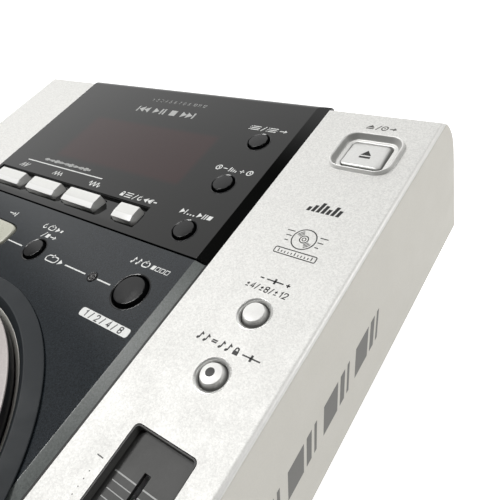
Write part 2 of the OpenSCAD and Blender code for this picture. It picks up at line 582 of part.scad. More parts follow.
module power_rocker() color("black") difference() {
    along_x(-88.1, -75.9) polygon([[137, 61.6], [142.6, 61.5], [146.2, 61.5], [143.6, 65], [144.6, 68.5], [142.2, 68.5], [137, 68.5], [135.5, 65]]);
    cylx(-89, -75, 139, 65, 1.1);
}

top_case();
lower_case();
rear_panel();
display_window();
jog_panel();
jog_bezel();
jog_trim_ring();
jog_dial();
jog_plate();
jog_spindle();
jog_bush();
jog_encoder_disc();
slider_tray();
slider_track();
slider_knob();
slot_bezel();
slot_felt();
feet();
case_screws();
eject_key();
effect_key_left();
effect_key_middle();
effect_key_right();
hold_key();
display_key_rear();
display_key_middle();
display_key_front();
loop_in_key();
loop_out_key();
reloop_key();
beat_loop_key();
loop_lamp();
tempo_range_key();
tempo_lock_key();
play_key();
cue_key();
track_back_key();
track_next_key();
search_back_key();
search_next_key();
control_board();
display_module();
main_board();
power_supply();
mech_chassis();
mech_dampers();
loading_roller();
roller_axle();
roller_gear();
loading_motor();
motor_pinion();
spindle_motor();
turntable();
clamp_disc();
laser_sled();
guide_rods();
lead_screw();
sled_motor();
rear_sockets();
power_rocker();
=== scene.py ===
import math
import bpy
import bmesh
from mathutils import Matrix, Vector


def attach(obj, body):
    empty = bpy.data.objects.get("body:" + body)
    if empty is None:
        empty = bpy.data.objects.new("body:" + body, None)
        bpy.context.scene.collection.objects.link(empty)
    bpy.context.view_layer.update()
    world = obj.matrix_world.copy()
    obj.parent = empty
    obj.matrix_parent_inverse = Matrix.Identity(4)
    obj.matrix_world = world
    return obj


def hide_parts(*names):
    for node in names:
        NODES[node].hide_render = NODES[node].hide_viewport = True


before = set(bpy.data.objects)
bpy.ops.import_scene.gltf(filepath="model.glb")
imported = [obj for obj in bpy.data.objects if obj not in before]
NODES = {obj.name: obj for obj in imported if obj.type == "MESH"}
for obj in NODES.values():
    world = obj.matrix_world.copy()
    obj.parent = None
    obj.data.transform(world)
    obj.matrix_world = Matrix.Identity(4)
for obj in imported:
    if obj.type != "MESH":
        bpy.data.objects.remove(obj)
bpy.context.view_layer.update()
MM = 0.001

# ---------------------------------------------------------------- camera
cam_data = bpy.data.cameras.new("camera")
cam_data.lens = 37.018
cam_data.sensor_width = 36.0
cam_data.clip_start = 0.005
cam_data.clip_end = 20.0
cam = bpy.data.objects.new("camera", cam_data)
bpy.context.scene.collection.objects.link(cam)
R_RIGHT, R_UP, R_BACK = (0.79559, 0.53603, -0.28233), (-0.25043, 0.71531, 0.65239), (0.55165, -0.44834, 0.70333)
cam.matrix_world = Matrix((
    (R_RIGHT[0], R_UP[0], R_BACK[0], 0.16080),
    (R_RIGHT[1], R_UP[1], R_BACK[1], -0.00075),
    (R_RIGHT[2], R_UP[2], R_BACK[2], 0.21120),
    (0, 0, 0, 1)))
bpy.context.scene.camera = cam


# ---------------------------------------------------------------- materials
class NT:
    """Small helper round a material's node tree."""

    def __init__(self, name):
        self.m = bpy.data.materials.new(name)
        self.m.use_nodes = True
        self.t = self.m.node_tree
        self.t.nodes.clear()
        self.out = self.n("ShaderNodeOutputMaterial")
        self.b = self.n("ShaderNodeBsdfPrincipled")
        self.l(self.b.outputs[0], self.out.inputs[0])
        self.co = self.n("ShaderNodeTexCoord").outputs["Object"]

    def n(self, kind, **props):
        x = self.t.nodes.new(kind)
        for k, v in props.items():
            setattr(x, k, v)
        return x

    def l(self, a, b):
        self.t.links.new(a, b)

    def noise(self, mm, detail=2.0, rough=0.5, stretch=None):
        x = self.n("ShaderNodeTexNoise")
        x.inputs["Scale"].default_value = 1000.0 / mm
        x.inputs["Detail"].default_value = detail
        x.inputs["Roughness"].default_value = rough
        if stretch:
            mp = self.n("ShaderNodeMapping")
            mp.inputs["Scale"].default_value = stretch
            self.l(self.co, mp.inputs[0])
            self.l(mp.outputs[0], x.inputs["Vector"])
        else:
            self.l(self.co, x.inputs["Vector"])
        return x.outputs["Fac"]

    def cells(self, mm):
        """a random value per flake"""
        x = self.n("ShaderNodeTexVoronoi")
        x.inputs["Scale"].default_value = 1000.0 / mm
        self.l(self.co, x.inputs["Vector"])
        s = self.n("ShaderNodeSeparateColor")
        self.l(x.outputs["Color"], s.inputs[0])
        return s.outputs[0]

    def remap(self, v, a, b, c, d):
        x = self.n("ShaderNodeMapRange")
        x.inputs["From Min"].default_value = a
        x.inputs["From Max"].default_value = b
        x.inputs["To Min"].default_value = c
        x.inputs["To Max"].default_value = d
        self.l(v, x.inputs["Value"])
        return x.outputs[0]

    def math(self, op, a, b):
        x = self.n("ShaderNodeMath", operation=op)
        for i, v in enumerate((a, b)):
            if isinstance(v, (int, float)):
                x.inputs[i].default_value = v
            else:
                self.l(v, x.inputs[i])
        return x.outputs[0]

    def mix(self, fac, a, b, mode="MIX"):
        x = self.n("ShaderNodeMix", data_type="RGBA", blend_type=mode)
        if isinstance(fac, (int, float)):
            x.inputs[0].default_value = fac
        else:
            self.l(fac, x.inputs[0])
        for i, v in ((6, a), (7, b)):
            if isinstance(v, tuple):
                x.inputs[i].default_value = (*v, 1.0) if len(v) == 3 else v
            else:
                self.l(v, x.inputs[i])
        return x.outputs[2]

    def bump(self, v, height_mm, strength=1.0, under=None):
        x = self.n("ShaderNodeBump")
        x.inputs["Strength"].default_value = strength
        x.inputs["Distance"].default_value = height_mm * MM
        self.l(v, x.inputs["Height"])
        if under is not None:
            self.l(under, x.inputs["Normal"])
        return x.outputs[0]

    def axes(self):
        """object coordinates in millimetres"""
        s = self.n("ShaderNodeSeparateXYZ")
        self.l(self.co, s.inputs[0])
        return [self.math("MULTIPLY", o, 1000.0) for o in s.outputs]

    def step(self, v, a, b, c=0.0, d=1.0):
        """smooth change from c to d while v goes from a to b"""
        x = self.n("ShaderNodeMapRange", interpolation_type="SMOOTHSTEP")
        for name, q in (("From Min", a), ("From Max", b), ("To Min", c), ("To Max", d)):
            x.inputs[name].default_value = q
        self.l(v, x.inputs["Value"])
        return x.outputs[0]

    def edge(self, lo=0.52, hi=0.60):
        g = self.n("ShaderNodeNewGeometry")
        return self.remap(g.outputs["Pointiness"], lo, hi, 0.0, 1.0)

    def put(self, base=None, rough=None, metal=None, normal=None, **const):
        for name, v in (("Base Color", base), ("Roughness", rough), ("Metallic", metal), ("Normal", normal)):
            if v is None:
                continue
            s = self.b.inputs[name]
            if isinstance(v, tuple):
                s.default_value = (*v, 1.0)
            elif isinstance(v, (int, float)):
                s.default_value = v
            else:
                self.l(v, s)
        for name, v in const.items():
            self.b.inputs[name.replace("_", " ")].default_value = v
        return self.m


def scaled(c, k):
    return tuple(min(1.0, x * k) for x in c)


def m_speckle(name, base, rough, metal, flake_mm, contrast, bump_mm, wear_and_sheen=0.25, zone=None, zone_base=None, grain_mm=1.0, painted_highlight=None, zone_rough=None, rough_vary=0.045, cloudy=0.99, wall_contrast=0.6):
    """metallic paint: bright and dark flakes, slight tilt of each flake, faint cloudiness, edges lightened partly as
    rubbing wear and partly as a painted highlight.
    zone(t) may give a mask, by position on the piece, of a second colour, which several callers use as painted shade or
    painted light on walls and slopes;
    a further mask marks roundings that are painted near-white as a highlight"""
    t = NT(name)
    cell = t.cells(flake_mm)
    fine = t.noise(flake_mm * 1.6, 3.0, 0.6)
    grain = t.remap(t.noise(grain_mm, 2.0, 0.7), 0.32, 0.68, 0.0, 1.0)
    cloud = t.noise(38, 3.0, 0.55)
    k = t.math("ADD", t.math("MULTIPLY", cell, 0.35), t.math("MULTIPLY", fine, 0.25))
    k = t.math("ADD", k, t.math("MULTIPLY", grain, 0.40))
    col = t.mix(t.remap(k, 0.25, 0.75, 0, 1), scaled(base, 1 - contrast), scaled(base, 1 + contrast))
    if zone:
        z = zone(t)
        calm = t.mix(t.remap(k, 0.25, 0.75, 0, 1), scaled(zone_base, 1 - contrast * wall_contrast), scaled(zone_base, 1 + contrast * wall_contrast))
        # the zone's colour, which for several callers is painted shade or painted light
        col = t.mix(z, col, calm)
    col = t.mix(t.remap(cloud, 0.35, 0.65, 0.0, 1.0), col, t.mix(1.0, col, (cloudy, cloudy, cloudy), "MULTIPLY"))
    # edges lightened where the surface is pointed: partly rubbing wear, partly a painted highlight
    col = t.mix(t.math("MULTIPLY", t.edge(), wear_and_sheen), col, scaled(base, 1.35))
    r = t.remap(t.noise(9, 4.0, 0.6), 0.3, 0.7, rough - rough_vary, rough + rough_vary)
    if zone_rough:
        r = t.math("ADD", r, t.math("MULTIPLY", z, zone_rough - rough))
    if painted_highlight:
        # roundings painted near-white: a painted highlight
        highlight_mask = painted_highlight(t)
        col = t.mix(highlight_mask, col, (0.98, 0.977, 0.955))
        metal = t.step(highlight_mask, 0.0, 1.0, metal, 0.38)
        r = t.math("ADD", r, t.math("MULTIPLY", highlight_mask, 0.46 - rough))
    nb = t.bump(t.noise(flake_mm * 1.2, 2.0), bump_mm, 0.5)
    nb = t.bump(cell, bump_mm * 0.6, 0.35, nb)
    return t.put(col, r, metal, nb, IOR=1.5)


def m_plastic(name, base, rough, grain_mm=0.35, bump_mm=0.004, vary=0.10, wear_and_sheen=0.2, gloss=0.0, wear_and_sheen_to=2.2):
    """moulded plastic: fine spark-erosion grain, faint blotches, edges lightened partly as wear from hands and partly
    as a painted highlight
    """
    t = NT(name)
    blotch = t.noise(22, 4.0, 0.6)
    grain = t.noise(grain_mm, 3.0, 0.6)
    col = t.mix(t.remap(blotch, 0.3, 0.7, 0, 1), scaled(base, 1 - vary), scaled(base, 1 + vary))
    col = t.mix(t.remap(grain, 0.3, 0.7, 0.0, 0.35), col, scaled(base, 1 - 1.6 * vary))
    # edges lightened where the surface is pointed: partly rubbing wear, partly a painted highlight
    col = t.mix(t.math("MULTIPLY", t.edge(), wear_and_sheen), col, scaled(base, wear_and_sheen_to))
    r = t.remap(t.noise(6, 4.0, 0.65), 0.3, 0.7, max(0.03, rough - 0.06), rough + 0.06)
    nb = t.bump(grain, bump_mm, 0.6)
    m = t.put(col, r, 0.0, nb, IOR=1.48)
    if gloss:
        t.b.inputs["Coat Weight"].default_value = gloss
        t.b.inputs["Coat Roughness"].default_value = 0.06
    return m


def m_metal(name, base, rough, brushed=None, vary=0.08):
    t = NT(name)
    line = t.noise(0.5, 3.0, 0.6, brushed or (1, 1, 1))
    blotch = t.noise(14, 3.0, 0.6)
    col = t.mix(t.remap(blotch, 0.3, 0.7, 0, 1), scaled(base, 1 - vary), scaled(base, 1 + vary))
    r = t.remap(line, 0.3, 0.7, max(0.05, rough - 0.10), rough + 0.10)
    return t.put(col, r, 1.0, t.bump(line, 0.004, 0.4))


def m_rubber(name, base):
    t = NT(name)
    col = t.mix(t.remap(t.noise(7, 4.0, 0.7), 0.35, 0.7, 0, 1), base, scaled(base, 1.9))
    return t.put(col, t.remap(t.noise(3, 3.0), 0.3, 0.7, 0.62, 0.82), 0.0, t.bump(t.noise(0.4, 3.0), 0.02, 0.6), IOR=1.5)


def m_ink(name, base, rough=0.45):
    t = NT(name)
    col = t.mix(t.remap(t.noise(0.25, 3.0, 0.7), 0.35, 0.72, 0, 1), base, scaled(base, 0.86))
    return t.put(col, rough, 0.0, t.bump(t.noise(0.2, 2.0), 0.003, 0.4), IOR=1.45)


def case_walls_shade(t):
    """the side walls and everything below the deck's shoulders, where the paint is made darker, warmer and less flecked
    as painted shade
    """
    x, y, z = t.axes()
    return t.math("MAXIMUM", t.step(t.math("ABSOLUTE", x, 0), 108.70, 108.95), t.step(z, 96.0, 101.0, 1.0, 0.0))


def case_edge_highlight(t):
    """the small rounding between the deck and each side wall, painted near-white, a little more metallic and less
    rough, as a highlight
    """
    x, y, z = t.axes()
    ax = t.math("ABSOLUTE", x, 0)
    band = t.math("MULTIPLY", t.step(ax, 107.7, 108.3), t.step(ax, 108.75, 108.95, 1.0, 0.0))
    return t.math("MULTIPLY", band, t.step(z, 98.0, 101.0))


def key_front_highlight(t):
    """the sloped front of the white keys, painted brighter than the top as a highlight"""
    x, y, z = t.axes()
    return t.math("MULTIPLY", t.step(y, 65.6, 65.85, 1.0, 0.0), t.step(z, 104.2, 104.4))


def well_walls_shade(t):
    """the steep walls of the moulded rim round the eject key, inside its lip, painted darker as shade"""
    x, y, z = t.axes()
    dx = t.math("MAXIMUM", t.math("SUBTRACT", t.math("ABSOLUTE", t.math("SUBTRACT", x, 90.4), 0), 5.8), 0.0)
    dy = t.math("MAXIMUM", t.math("SUBTRACT", t.math("ABSOLUTE", t.math("SUBTRACT", y, 117.6), 0), 3.9), 0.0)
    q = t.math("SQRT", t.math("ADD", t.math("MULTIPLY", dx, dx), t.math("MULTIPLY", dy, dy)), 0)
    inside = t.step(q, 4.55, 4.70, 1.0, 0.0)
    return t.math("MULTIPLY", inside, t.math("MULTIPLY", t.step(z, 101.76, 101.95), t.step(z, 103.6, 103.85, 1.0, 0.0)))


def tray_walls_light(t):
    """the upright walls of the slider recess, painted lighter than its floor as light falling on them"""
    x, y, z = t.axes()
    return t.math("MULTIPLY", t.step(z, 100.06, 100.25), t.step(z, 102.35, 102.5, 1.0, 0.0))


def shade_below(z0, z1):
    """darker colour on a key's wall below a height: painted shade of the gap round the key"""
    return lambda t: t.step(t.axes()[2], z0, z1, 1.0, 0.0)


def panel_bevel(t):
    """the sloped strip along the jog panel's right edge"""
    return t.step(t.axes()[0], 61.25, 61.5)


MAT = {}
# case paint: side walls and lower walls painted darker, warmer and less flecked as shade; the roundings at the deck's
# sides painted near-white as a highlight
MAT["silver"] = m_speckle("silver_paint", (0.665, 0.662, 0.646), 0.60, 0.28, 0.34, 0.15, 0.018, zone=case_walls_shade, zone_base=(0.49, 0.47, 0.415), painted_highlight=case_edge_highlight, grain_mm=0.62, wall_contrast=0.2)
# eject surround: walls inside its lip painted darker as shade
MAT["silver_rim"] = m_speckle("silver_rim", (0.80, 0.797, 0.78), 0.42, 0.30, 0.30, 0.035, 0.005, 0.1, zone=well_walls_shade, zone_base=(0.46, 0.46, 0.447), grain_mm=0.5)
MAT["panel"] = m_speckle("panel_fleck", (0.0150, 0.0190, 0.0230), 0.10, 0.0, 0.30, 0.42, 0.003, 0.2, zone=panel_bevel, zone_base=(0.082, 0.093, 0.089), grain_mm=0.6, zone_rough=0.30, rough_vary=0.01)
MAT["bezel"] = m_plastic("bezel_grey", (0.0205, 0.0240, 0.0275), 0.50, 0.25, 0.003)
MAT["bezel"].node_tree.nodes["Principled BSDF"].inputs["IOR"].default_value = 1.30
MAT["black"] = m_plastic("black_plastic", (0.010, 0.010, 0.011), 0.36)
MAT["case_dark"] = m_plastic("case_dark", (0.035, 0.035, 0.037), 0.55, 0.6, 0.02)
MAT["key_dark"] = m_plastic("key_dark", (0.0045, 0.0045, 0.005), 0.16, 0.3, 0.001, wear_and_sheen=0.15)
MAT["key_grey"] = m_plastic("key_grey", (0.20, 0.205, 0.21), 0.40)
# white keys: sloped front painted brighter than the top as a highlight
MAT["key_white"] = m_speckle("key_white", (0.80, 0.80, 0.78), 0.26, 0.0, 0.4, 0.01, 0.002, 0.05, zone=key_front_highlight, zone_base=(0.97, 0.97, 0.96), rough_vary=0.01)
MAT["key_cream"] = m_plastic("key_cream", (0.52, 0.52, 0.435), 0.30, 0.5, 0.002, 0.03, 0.1, wear_and_sheen_to=1.15)
# pearl and silver keys: walls painted darker towards the bottom as shade of the gap round each key
MAT["key_pearl"] = m_speckle("key_pearl", (0.88, 0.877, 0.86), 0.22, 0.0, 0.30, 0.02, 0.003, 0.1, zone=shade_below(102.0, 103.26), zone_base=(0.17, 0.17, 0.165))
MAT["key_silver"] = m_speckle("key_silver", (0.76, 0.757, 0.745), 0.34, 0.45, 0.30, 0.03, 0.004, 0.1, zone=shade_below(101.72, 102.12), zone_base=(0.13, 0.13, 0.126))
MAT["rim_silver"] = m_speckle("rim_silver", (0.70, 0.70, 0.685), 0.26, 0.60, 0.30, 0.03, 0.003, 0.1)
# slider recess: walls painted lighter than the floor as light falling on them
MAT["tray"] = m_speckle("tray_grey", (0.033, 0.033, 0.032), 0.55, 0.0, 0.35, 0.08, 0.010, 0.1, zone=tray_walls_light, zone_base=(0.125, 0.125, 0.122), rough_vary=0.02)
MAT["lamp"] = m_plastic("lamp_smoked", (0.022, 0.020, 0.021), 0.06, 0.5, 0.001)
MAT["rubber"] = m_rubber("rubber_black", (0.018, 0.018, 0.018))
MAT["felt"] = m_rubber("felt_black", (0.012, 0.012, 0.013))
MAT["board"] = m_plastic("board_green", (0.02, 0.13, 0.06), 0.38, 0.8, 0.01)
MAT["nylon"] = m_plastic("nylon_white", (0.74, 0.73, 0.66), 0.45, wear_and_sheen_to=1.1)
MAT["steel"] = m_metal("steel_plate", (0.56, 0.56, 0.57), 0.34, (1, 9, 9))
MAT["bronze"] = m_metal("bronze", (0.55, 0.38, 0.17), 0.35)
MAT["ring_silver"] = m_speckle("trim_silver", (0.66, 0.645, 0.60), 0.36, 0.35, 0.3, 0.05, 0.003, 0.1)
MAT["dial_face"] = m_speckle("dial_face", (0.375, 0.345, 0.338), 0.50, 0.30, 0.3, 0.06, 0.004, 0.15, grain_mm=0.7)
MAT["ink_white"] = m_ink("ink_white", (0.80, 0.81, 0.80))
MAT["ink_grey"] = m_ink("ink_grey", (0.34, 0.345, 0.34))
MAT["ink_dark"] = m_ink("ink_dark", (0.010, 0.010, 0.010))
MAT["ink_mid"] = m_ink("ink_mid", (0.085, 0.083, 0.078))
MAT["ink_brand"] = m_ink("ink_side", (0.125, 0.122, 0.112))
MAT["ink_bright"] = m_ink("ink_bright", (0.46, 0.465, 0.46))
MAT["ink_panel"] = m_ink("ink_panel", (0.014, 0.016, 0.018))
MAT["ink_scale"] = m_ink("ink_scale", (0.36, 0.365, 0.36))
MAT["ink_key"] = m_ink("ink_key", (0.022, 0.021, 0.020), 0.35)
MAT["rim_black"] = m_plastic("rim_black", (0.012, 0.012, 0.013), 0.16, 0.3, 0.001, wear_and_sheen=0.1)


def make_window():
    """smoked glossy acrylic, faintly red where the display sits behind it"""
    t = NT("window_smoked")
    s = t.n("ShaderNodeSeparateXYZ")
    t.l(t.co, s.inputs[0])

    def band(v, a, b, soft):
        up = t.remap(v, a - soft, a + soft, 0.0, 1.0)
        dn = t.remap(v, b - soft, b + soft, 1.0, 0.0)
        return t.math("MULTIPLY", up, dn)

    area = t.math("MULTIPLY", band(s.outputs[0], -0.0424, 0.031, 0.0012), band(s.outputs[1], 0.0855, 0.113, 0.0012))
    base = t.mix(t.remap(t.noise(30, 3.0), 0.3, 0.7, 0, 1), (0.0026, 0.0028, 0.0026), (0.0040, 0.0042, 0.0040))
    col = t.mix(area, base, (0.0215, 0.0040, 0.0040))
    r = t.remap(t.noise(12, 4.0, 0.7), 0.35, 0.7, 0.05, 0.09)
    nb = t.bump(t.noise(11, 2.0), 0.010, 0.25)
    return t.put(col, r, 0.0, nb, IOR=1.50)


MAT["window"] = make_window()


def make_sockets():
    """black mouldings, plated barrels and coloured cores of the two audio sockets"""
    t = NT("socket_parts")
    x, y, z = t.axes()
    z2 = t.math("POWER", t.math("SUBTRACT", z, 65.0), 2.0)

    def away(cx):
        return t.math("SQRT", t.math("ADD", t.math("POWER", t.math("SUBTRACT", x, cx), 2.0), z2), 0.0)

    near = t.math("MINIMUM", away(28.0), away(46.0))
    out = t.step(y, 141.3, 141.45)
    core = t.math("MULTIPLY", t.step(near, 2.85, 3.0, 1.0, 0.0), out)
    plated = t.math("MULTIPLY", t.math("MULTIPLY", t.step(near, 6.25, 6.35, 1.0, 0.0), out), t.math("SUBTRACT", 1.0, core))
    nut = t.math("MULTIPLY", t.step(away(70.0), 4.45, 4.55, 1.0, 0.0), out)
    plated = t.math("MAXIMUM", plated, nut)
    grain = t.remap(t.noise(0.4, 3.0, 0.6), 0.3, 0.7, 0.0, 1.0)
    col = t.mix(grain, (0.010, 0.010, 0.011), (0.013, 0.013, 0.014))
    col = t.mix(plated, col, t.mix(grain, (0.60, 0.59, 0.56), (0.66, 0.65, 0.62)))
    col = t.mix(core, col, t.mix(t.step(x, 36.9, 37.1), (0.50, 0.018, 0.016), (0.78, 0.78, 0.75)))
    r = t.remap(t.noise(3, 3.0, 0.6), 0.3, 0.7, 0.28, 0.38)
    return t.put(col, r, plated, t.bump(t.noise(0.35, 3.0), 0.004, 0.5), IOR=1.48)


MAT["sockets"] = make_sockets()

NODE_MAT = {
    "top_case": "silver", "lower_case": "case_dark", "rear_panel": "case_dark", "display_window": "window",
    "jog_panel": "panel", "jog_bezel": "bezel", "jog_trim_ring": "ring_silver", "jog_dial": "black",
    "jog_plate": "dial_face", "jog_spindle": "steel", "jog_bush": "bronze", "jog_encoder_disc": "steel",
    "slider_tray": "tray", "slider_track": "steel", "slider_knob": "black", "slot_bezel": "black",
    "slot_felt": "felt", "feet": "rubber", "case_screws": "steel", "eject_key": "key_silver",
    "effect_key_left": "key_white", "effect_key_middle": "key_white", "effect_key_right": "key_white",
    "hold_key": "key_white", "display_key_rear": "key_dark", "display_key_middle": "key_dark",
    "display_key_front": "key_dark", "loop_in_key": "key_cream", "loop_out_key": "key_cream",
    "reloop_key": "key_dark", "beat_loop_key": "key_dark", "loop_lamp": "lamp", "tempo_range_key": "key_pearl",
    "tempo_lock_key": "key_pearl", "play_key": "key_silver", "cue_key": "key_silver",
    "track_back_key": "key_grey", "track_next_key": "key_grey", "search_back_key": "key_grey",
    "search_next_key": "key_grey", "control_board": "board", "display_module": "black", "main_board": "board",
    "power_supply": "board", "mech_chassis": "steel", "mech_dampers": "rubber", "loading_roller": "rubber",
    "roller_axle": "steel", "roller_gear": "nylon", "loading_motor": "steel", "motor_pinion": "bronze",
    "spindle_motor": "steel", "turntable": "black", "clamp_disc": "nylon", "laser_sled": "black",
    "guide_rods": "steel", "lead_screw": "steel", "sled_motor": "steel", "rear_sockets": "sockets",
    "power_rocker": "black"}
for node, key in NODE_MAT.items():
    d = NODES[node].data
    d.materials.clear()
    d.materials.append(MAT[key])


# ---------------------------------------------------------------- softened edges on the CAD nodes
def soften(node, width_mm, segments=2, angle=28.0):
    o = NODES[node]
    w = o.modifiers.new("weld", "WELD")
    w.merge_threshold = 2e-6
    d = o.modifiers.new("planes", "DECIMATE")
    d.decimate_type = "DISSOLVE"
    d.angle_limit = math.radians(0.4)
    b = o.modifiers.new("edges", "BEVEL")
    b.width = width_mm * MM
    b.segments = segments
    b.limit_method = "ANGLE"
    b.angle_limit = math.radians(angle)
    b.use_clamp_overlap = True
    for p in o.data.polygons:
        p.use_smooth = True
    n = o.modifiers.new("shade", "WEIGHTED_NORMAL")
    n.mode = "FACE_AREA"
    n.weight = 100
    n.keep_sharp = False


for node, width in {"display_window": 0.12, "jog_panel": 0.15, "slider_tray": 0.12, "slider_knob": 0.35, "slot_bezel": 0.3,
                    "lower_case": 0.5, "rear_panel": 0.15, "rear_sockets": 0.2, "power_rocker": 0.4, "top_case": 0.25}.items():
    soften(node, width, angle=11.0 if node in ("display_window", "jog_panel") else 28.0)

# ---------------------------------------------------------------- mesh helpers (plans in millimetres)
def finish_mesh(name, verts, faces, mat, body, sharp=32.0, replaces=(), smooth=True):
    me = bpy.data.meshes.new(name)
    me.from_pydata([(x * MM, y * MM, z * MM) for x, y, z in verts], [], faces)
    bm = bmesh.new()
    bm.from_mesh(me)
    bmesh.ops.remove_doubles(bm, verts=bm.verts, dist=2e-7)
    bmesh.ops.dissolve_degenerate(bm, edges=bm.edges, dist=1e-7)
    bmesh.ops.recalc_face_normals(bm, faces=bm.faces)
    bm.to_mesh(me)
    bm.free()
    me.materials.append(MAT[mat])
    if smooth:
        for p in me.polygons:
            p.use_smooth = True
        me.set_sharp_from_angle(angle=math.radians(sharp))
    o = bpy.data.objects.new(name, me)
    bpy.context.scene.collection.objects.link(o)
    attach(o, body)
    if replaces:
        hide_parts(*replaces)
    return o


def fillet(pts, radii, seg=5, closed=True):
    """round the corners of a 2D outline; radii is one number or one per point"""
    n = len(pts)
    rs = radii if isinstance(radii, (list, tuple)) else [radii] * n
    out = []
    for i, p in enumerate(pts):
        r = rs[i]
        if r <= 0 or (not closed and i in (0, n - 1)):
            out.append(tuple(p))
            continue
        p = Vector(p)
        a, b = Vector(pts[i - 1]) - p, Vector(pts[(i + 1) % n]) - p
        la, lb = a.length, b.length
        if la < 1e-9 or lb < 1e-9:
            out.append(tuple(p))
            continue
        a, b = a / la, b / lb
        ang = math.acos(max(-1, min(1, a.dot(b))))
        if ang > math.radians(176):
            out.append(tuple(p))
            continue
        t = min(r / math.tan(ang / 2), la * 0.49, lb * 0.49)
        rr = t * math.tan(ang / 2)
        c = p + (a + b).normalized() * (rr / math.sin(ang / 2))
        s, e = p + a * t - c, p + b * t - c
        a0, a1 = math.atan2(s.y, s.x), math.atan2(e.y, e.x)
        d = (a1 - a0 + math.pi) % (2 * math.pi) - math.pi
        for k in range(seg + 1):
            q = a0 + d * k / seg
            out.append((c.x + rr * math.cos(q), c.y + rr * math.sin(q)))
    return out


class Mesh:
    """collects closed shells"""

    def __init__(self):
        self.v, self.f = [], []

    def loops(self, loops, cap0=True, cap1=True, ring=True, closed_tube=False):
        base = len(self.v)
        n = len(loops[0])
        for lp in loops:
            assert len(lp) == n
            self.v += [tuple(p) for p in lp]
        m = len(loops)
        for i in range(m if closed_tube else m - 1):
            a, b = base + i * n, base + ((i + 1) % m) * n
            for k in range(n if ring else n - 1):
                k2 = (k + 1) % n
                self.f.append((a + k, a + k2, b + k2, b + k))
        if not closed_tube:
            if cap0:
                self.f.append(tuple(range(base, base + n))[::-1])
            if cap1:
                self.f.append(tuple(range(base + (m - 1) * n, base + m * n)))
        return self

    def lathe(self, cx, cy, prof, n=192):
        """closed profile of (r, z) turned about the vertical through cx, cy"""
        base = len(self.v)
        m = len(prof)
        idx = []
        for i, (r, z) in enumerate(prof):
            if r < 1e-6:
                self.v.append((cx, cy, z))
                idx.append([len(self.v) - 1] * n)
            else:
                row = []
                for k in range(n):
                    a = 2 * math.pi * k / n
                    self.v.append((cx + r * math.cos(a), cy + r * math.sin(a), z))
                    row.append(len(self.v) - 1)
                idx.append(row)
        for i in range(m):
            a, b = idx[i], idx[(i + 1) % m]
            if a[0] == a[1] and b[0] == b[1]:
                continue
            for k in range(n):
                k2 = (k + 1) % n
                q = [a[k], a[k2], b[k2], b[k]]
                q = [x for j, x in enumerate(q) if x not in q[:j]]
                if len(q) > 2:
                    self.f.append(tuple(q))
        return self

    def prism(self, outline, z0, z1):
        return self.loops([[(x, y, z0) for x, y in outline], [(x, y, z1) for x, y in outline]])

    def make(self, name, mat, body, **kw):
        return finish_mesh(name, self.v, self.f, mat, body, **kw)


def rr_loop(cx, cy, w, d, r, z, k=6):
    r = max(1e-4, min(r, w / 2 - 1e-4, d / 2 - 1e-4))
    out = []
    for qx, qy, a0 in ((1, 1, 0), (-1, 1, 90), (-1, -1, 180), (1, -1, 270)):
        for i in range(k + 1):
            a = math.radians(a0 + 90 * i / k)
            out.append((cx + qx * (w / 2 - r) + r * math.cos(a), cy + qy * (d / 2 - r) + r * math.sin(a), z))
    return out


def oval_loop(cx, cy, a, b, z, e=4, k=96):
    out = []
    for i in range(k):
        t = 2 * math.pi * (i + 0.5) / k
        c, s = math.cos(t), math.sin(t)
        out.append((cx + a * math.copysign(abs(c) ** (2 / e), c), cy + b * math.copysign(abs(s) ** (2 / e), s), z))
    return out


DZ, UT, ZF = 102.6, 100.1, 103.3
JX, JY = -2.5, -43.2


# ---------------------------------------------------------------- round keys
def round_key(node, x, y, r, top, mat, dome=0.22, edge=0.55, taper=0.0, low=UT + 1.2):
    """cap with a crowned top and a rolled rim, retaining flange and stem.
    taper: how far its wall leans in from the height low up to the rim"""
    prof = [(0, UT - 1.9), (r + 1.1, UT - 1.9), (r + 1.1, UT - 0.7), (r, UT - 0.7), (r, low if taper else top - dome - edge)]
    r -= taper
    for i in range(0 if taper else 1, 8):
        a = math.radians(90 * i / 8)
        prof.append((r - edge * (1 - math.cos(a)), top - dome - edge * (1 - math.sin(a))))
    R = r - edge
    for i in range(0, 13):
        q = R * (1 - i / 12)
        prof.append((q, top - dome * (q / R) ** 2 if q > 0 else top))
    m = Mesh().lathe(x, y, prof, 96)
    m.lathe(x, y, [(0, 95.6), (1.6, 95.6), (1.6, UT - 1.85), (0, UT - 1.85)], 32)
    return m.make(node + "_cap", mat, node, replaces=(node,))


round_key("display_key_rear", 49.1, 114.1, 4.1, DZ + 1.6, "key_dark", 0.12, 0.16, 0.50)
round_key("display_key_middle", 49.2, 90.7, 4.1, DZ + 1.6, "key_dark", 0.12, 0.16, 0.50)
round_key("display_key_front", 49.3, 67.7, 4.1, DZ + 1.6, "key_dark", 0.12, 0.16, 0.50)
round_key("reloop_key", -2.9, 40.8, 4.35, DZ + 1.6, "key_dark", 0.12, 0.16, 0.60)
round_key("beat_loop_key", 48.7, 40.8, 5.95, DZ + 1.65, "key_dark", 0.10, 0.16, 0.80)
round_key("tempo_range_key", 89.8, 49.6, 3.95, DZ + 1.0, "key_pearl", 0.16, 0.18, 0.88, UT + 1.5)
round_key("tempo_lock_key", 89.8, 29.6, 3.95, DZ + 1.0, "key_pearl", 0.16, 0.18, 0.88, UT + 1.5)
round_key("play_key", -90, -112, 12.5, DZ + 2.4, "key_silver", 0.35, 0.9)
round_key("cue_key", -90, -78, 12.5, DZ + 2.4, "key_silver", 0.35, 0.9)


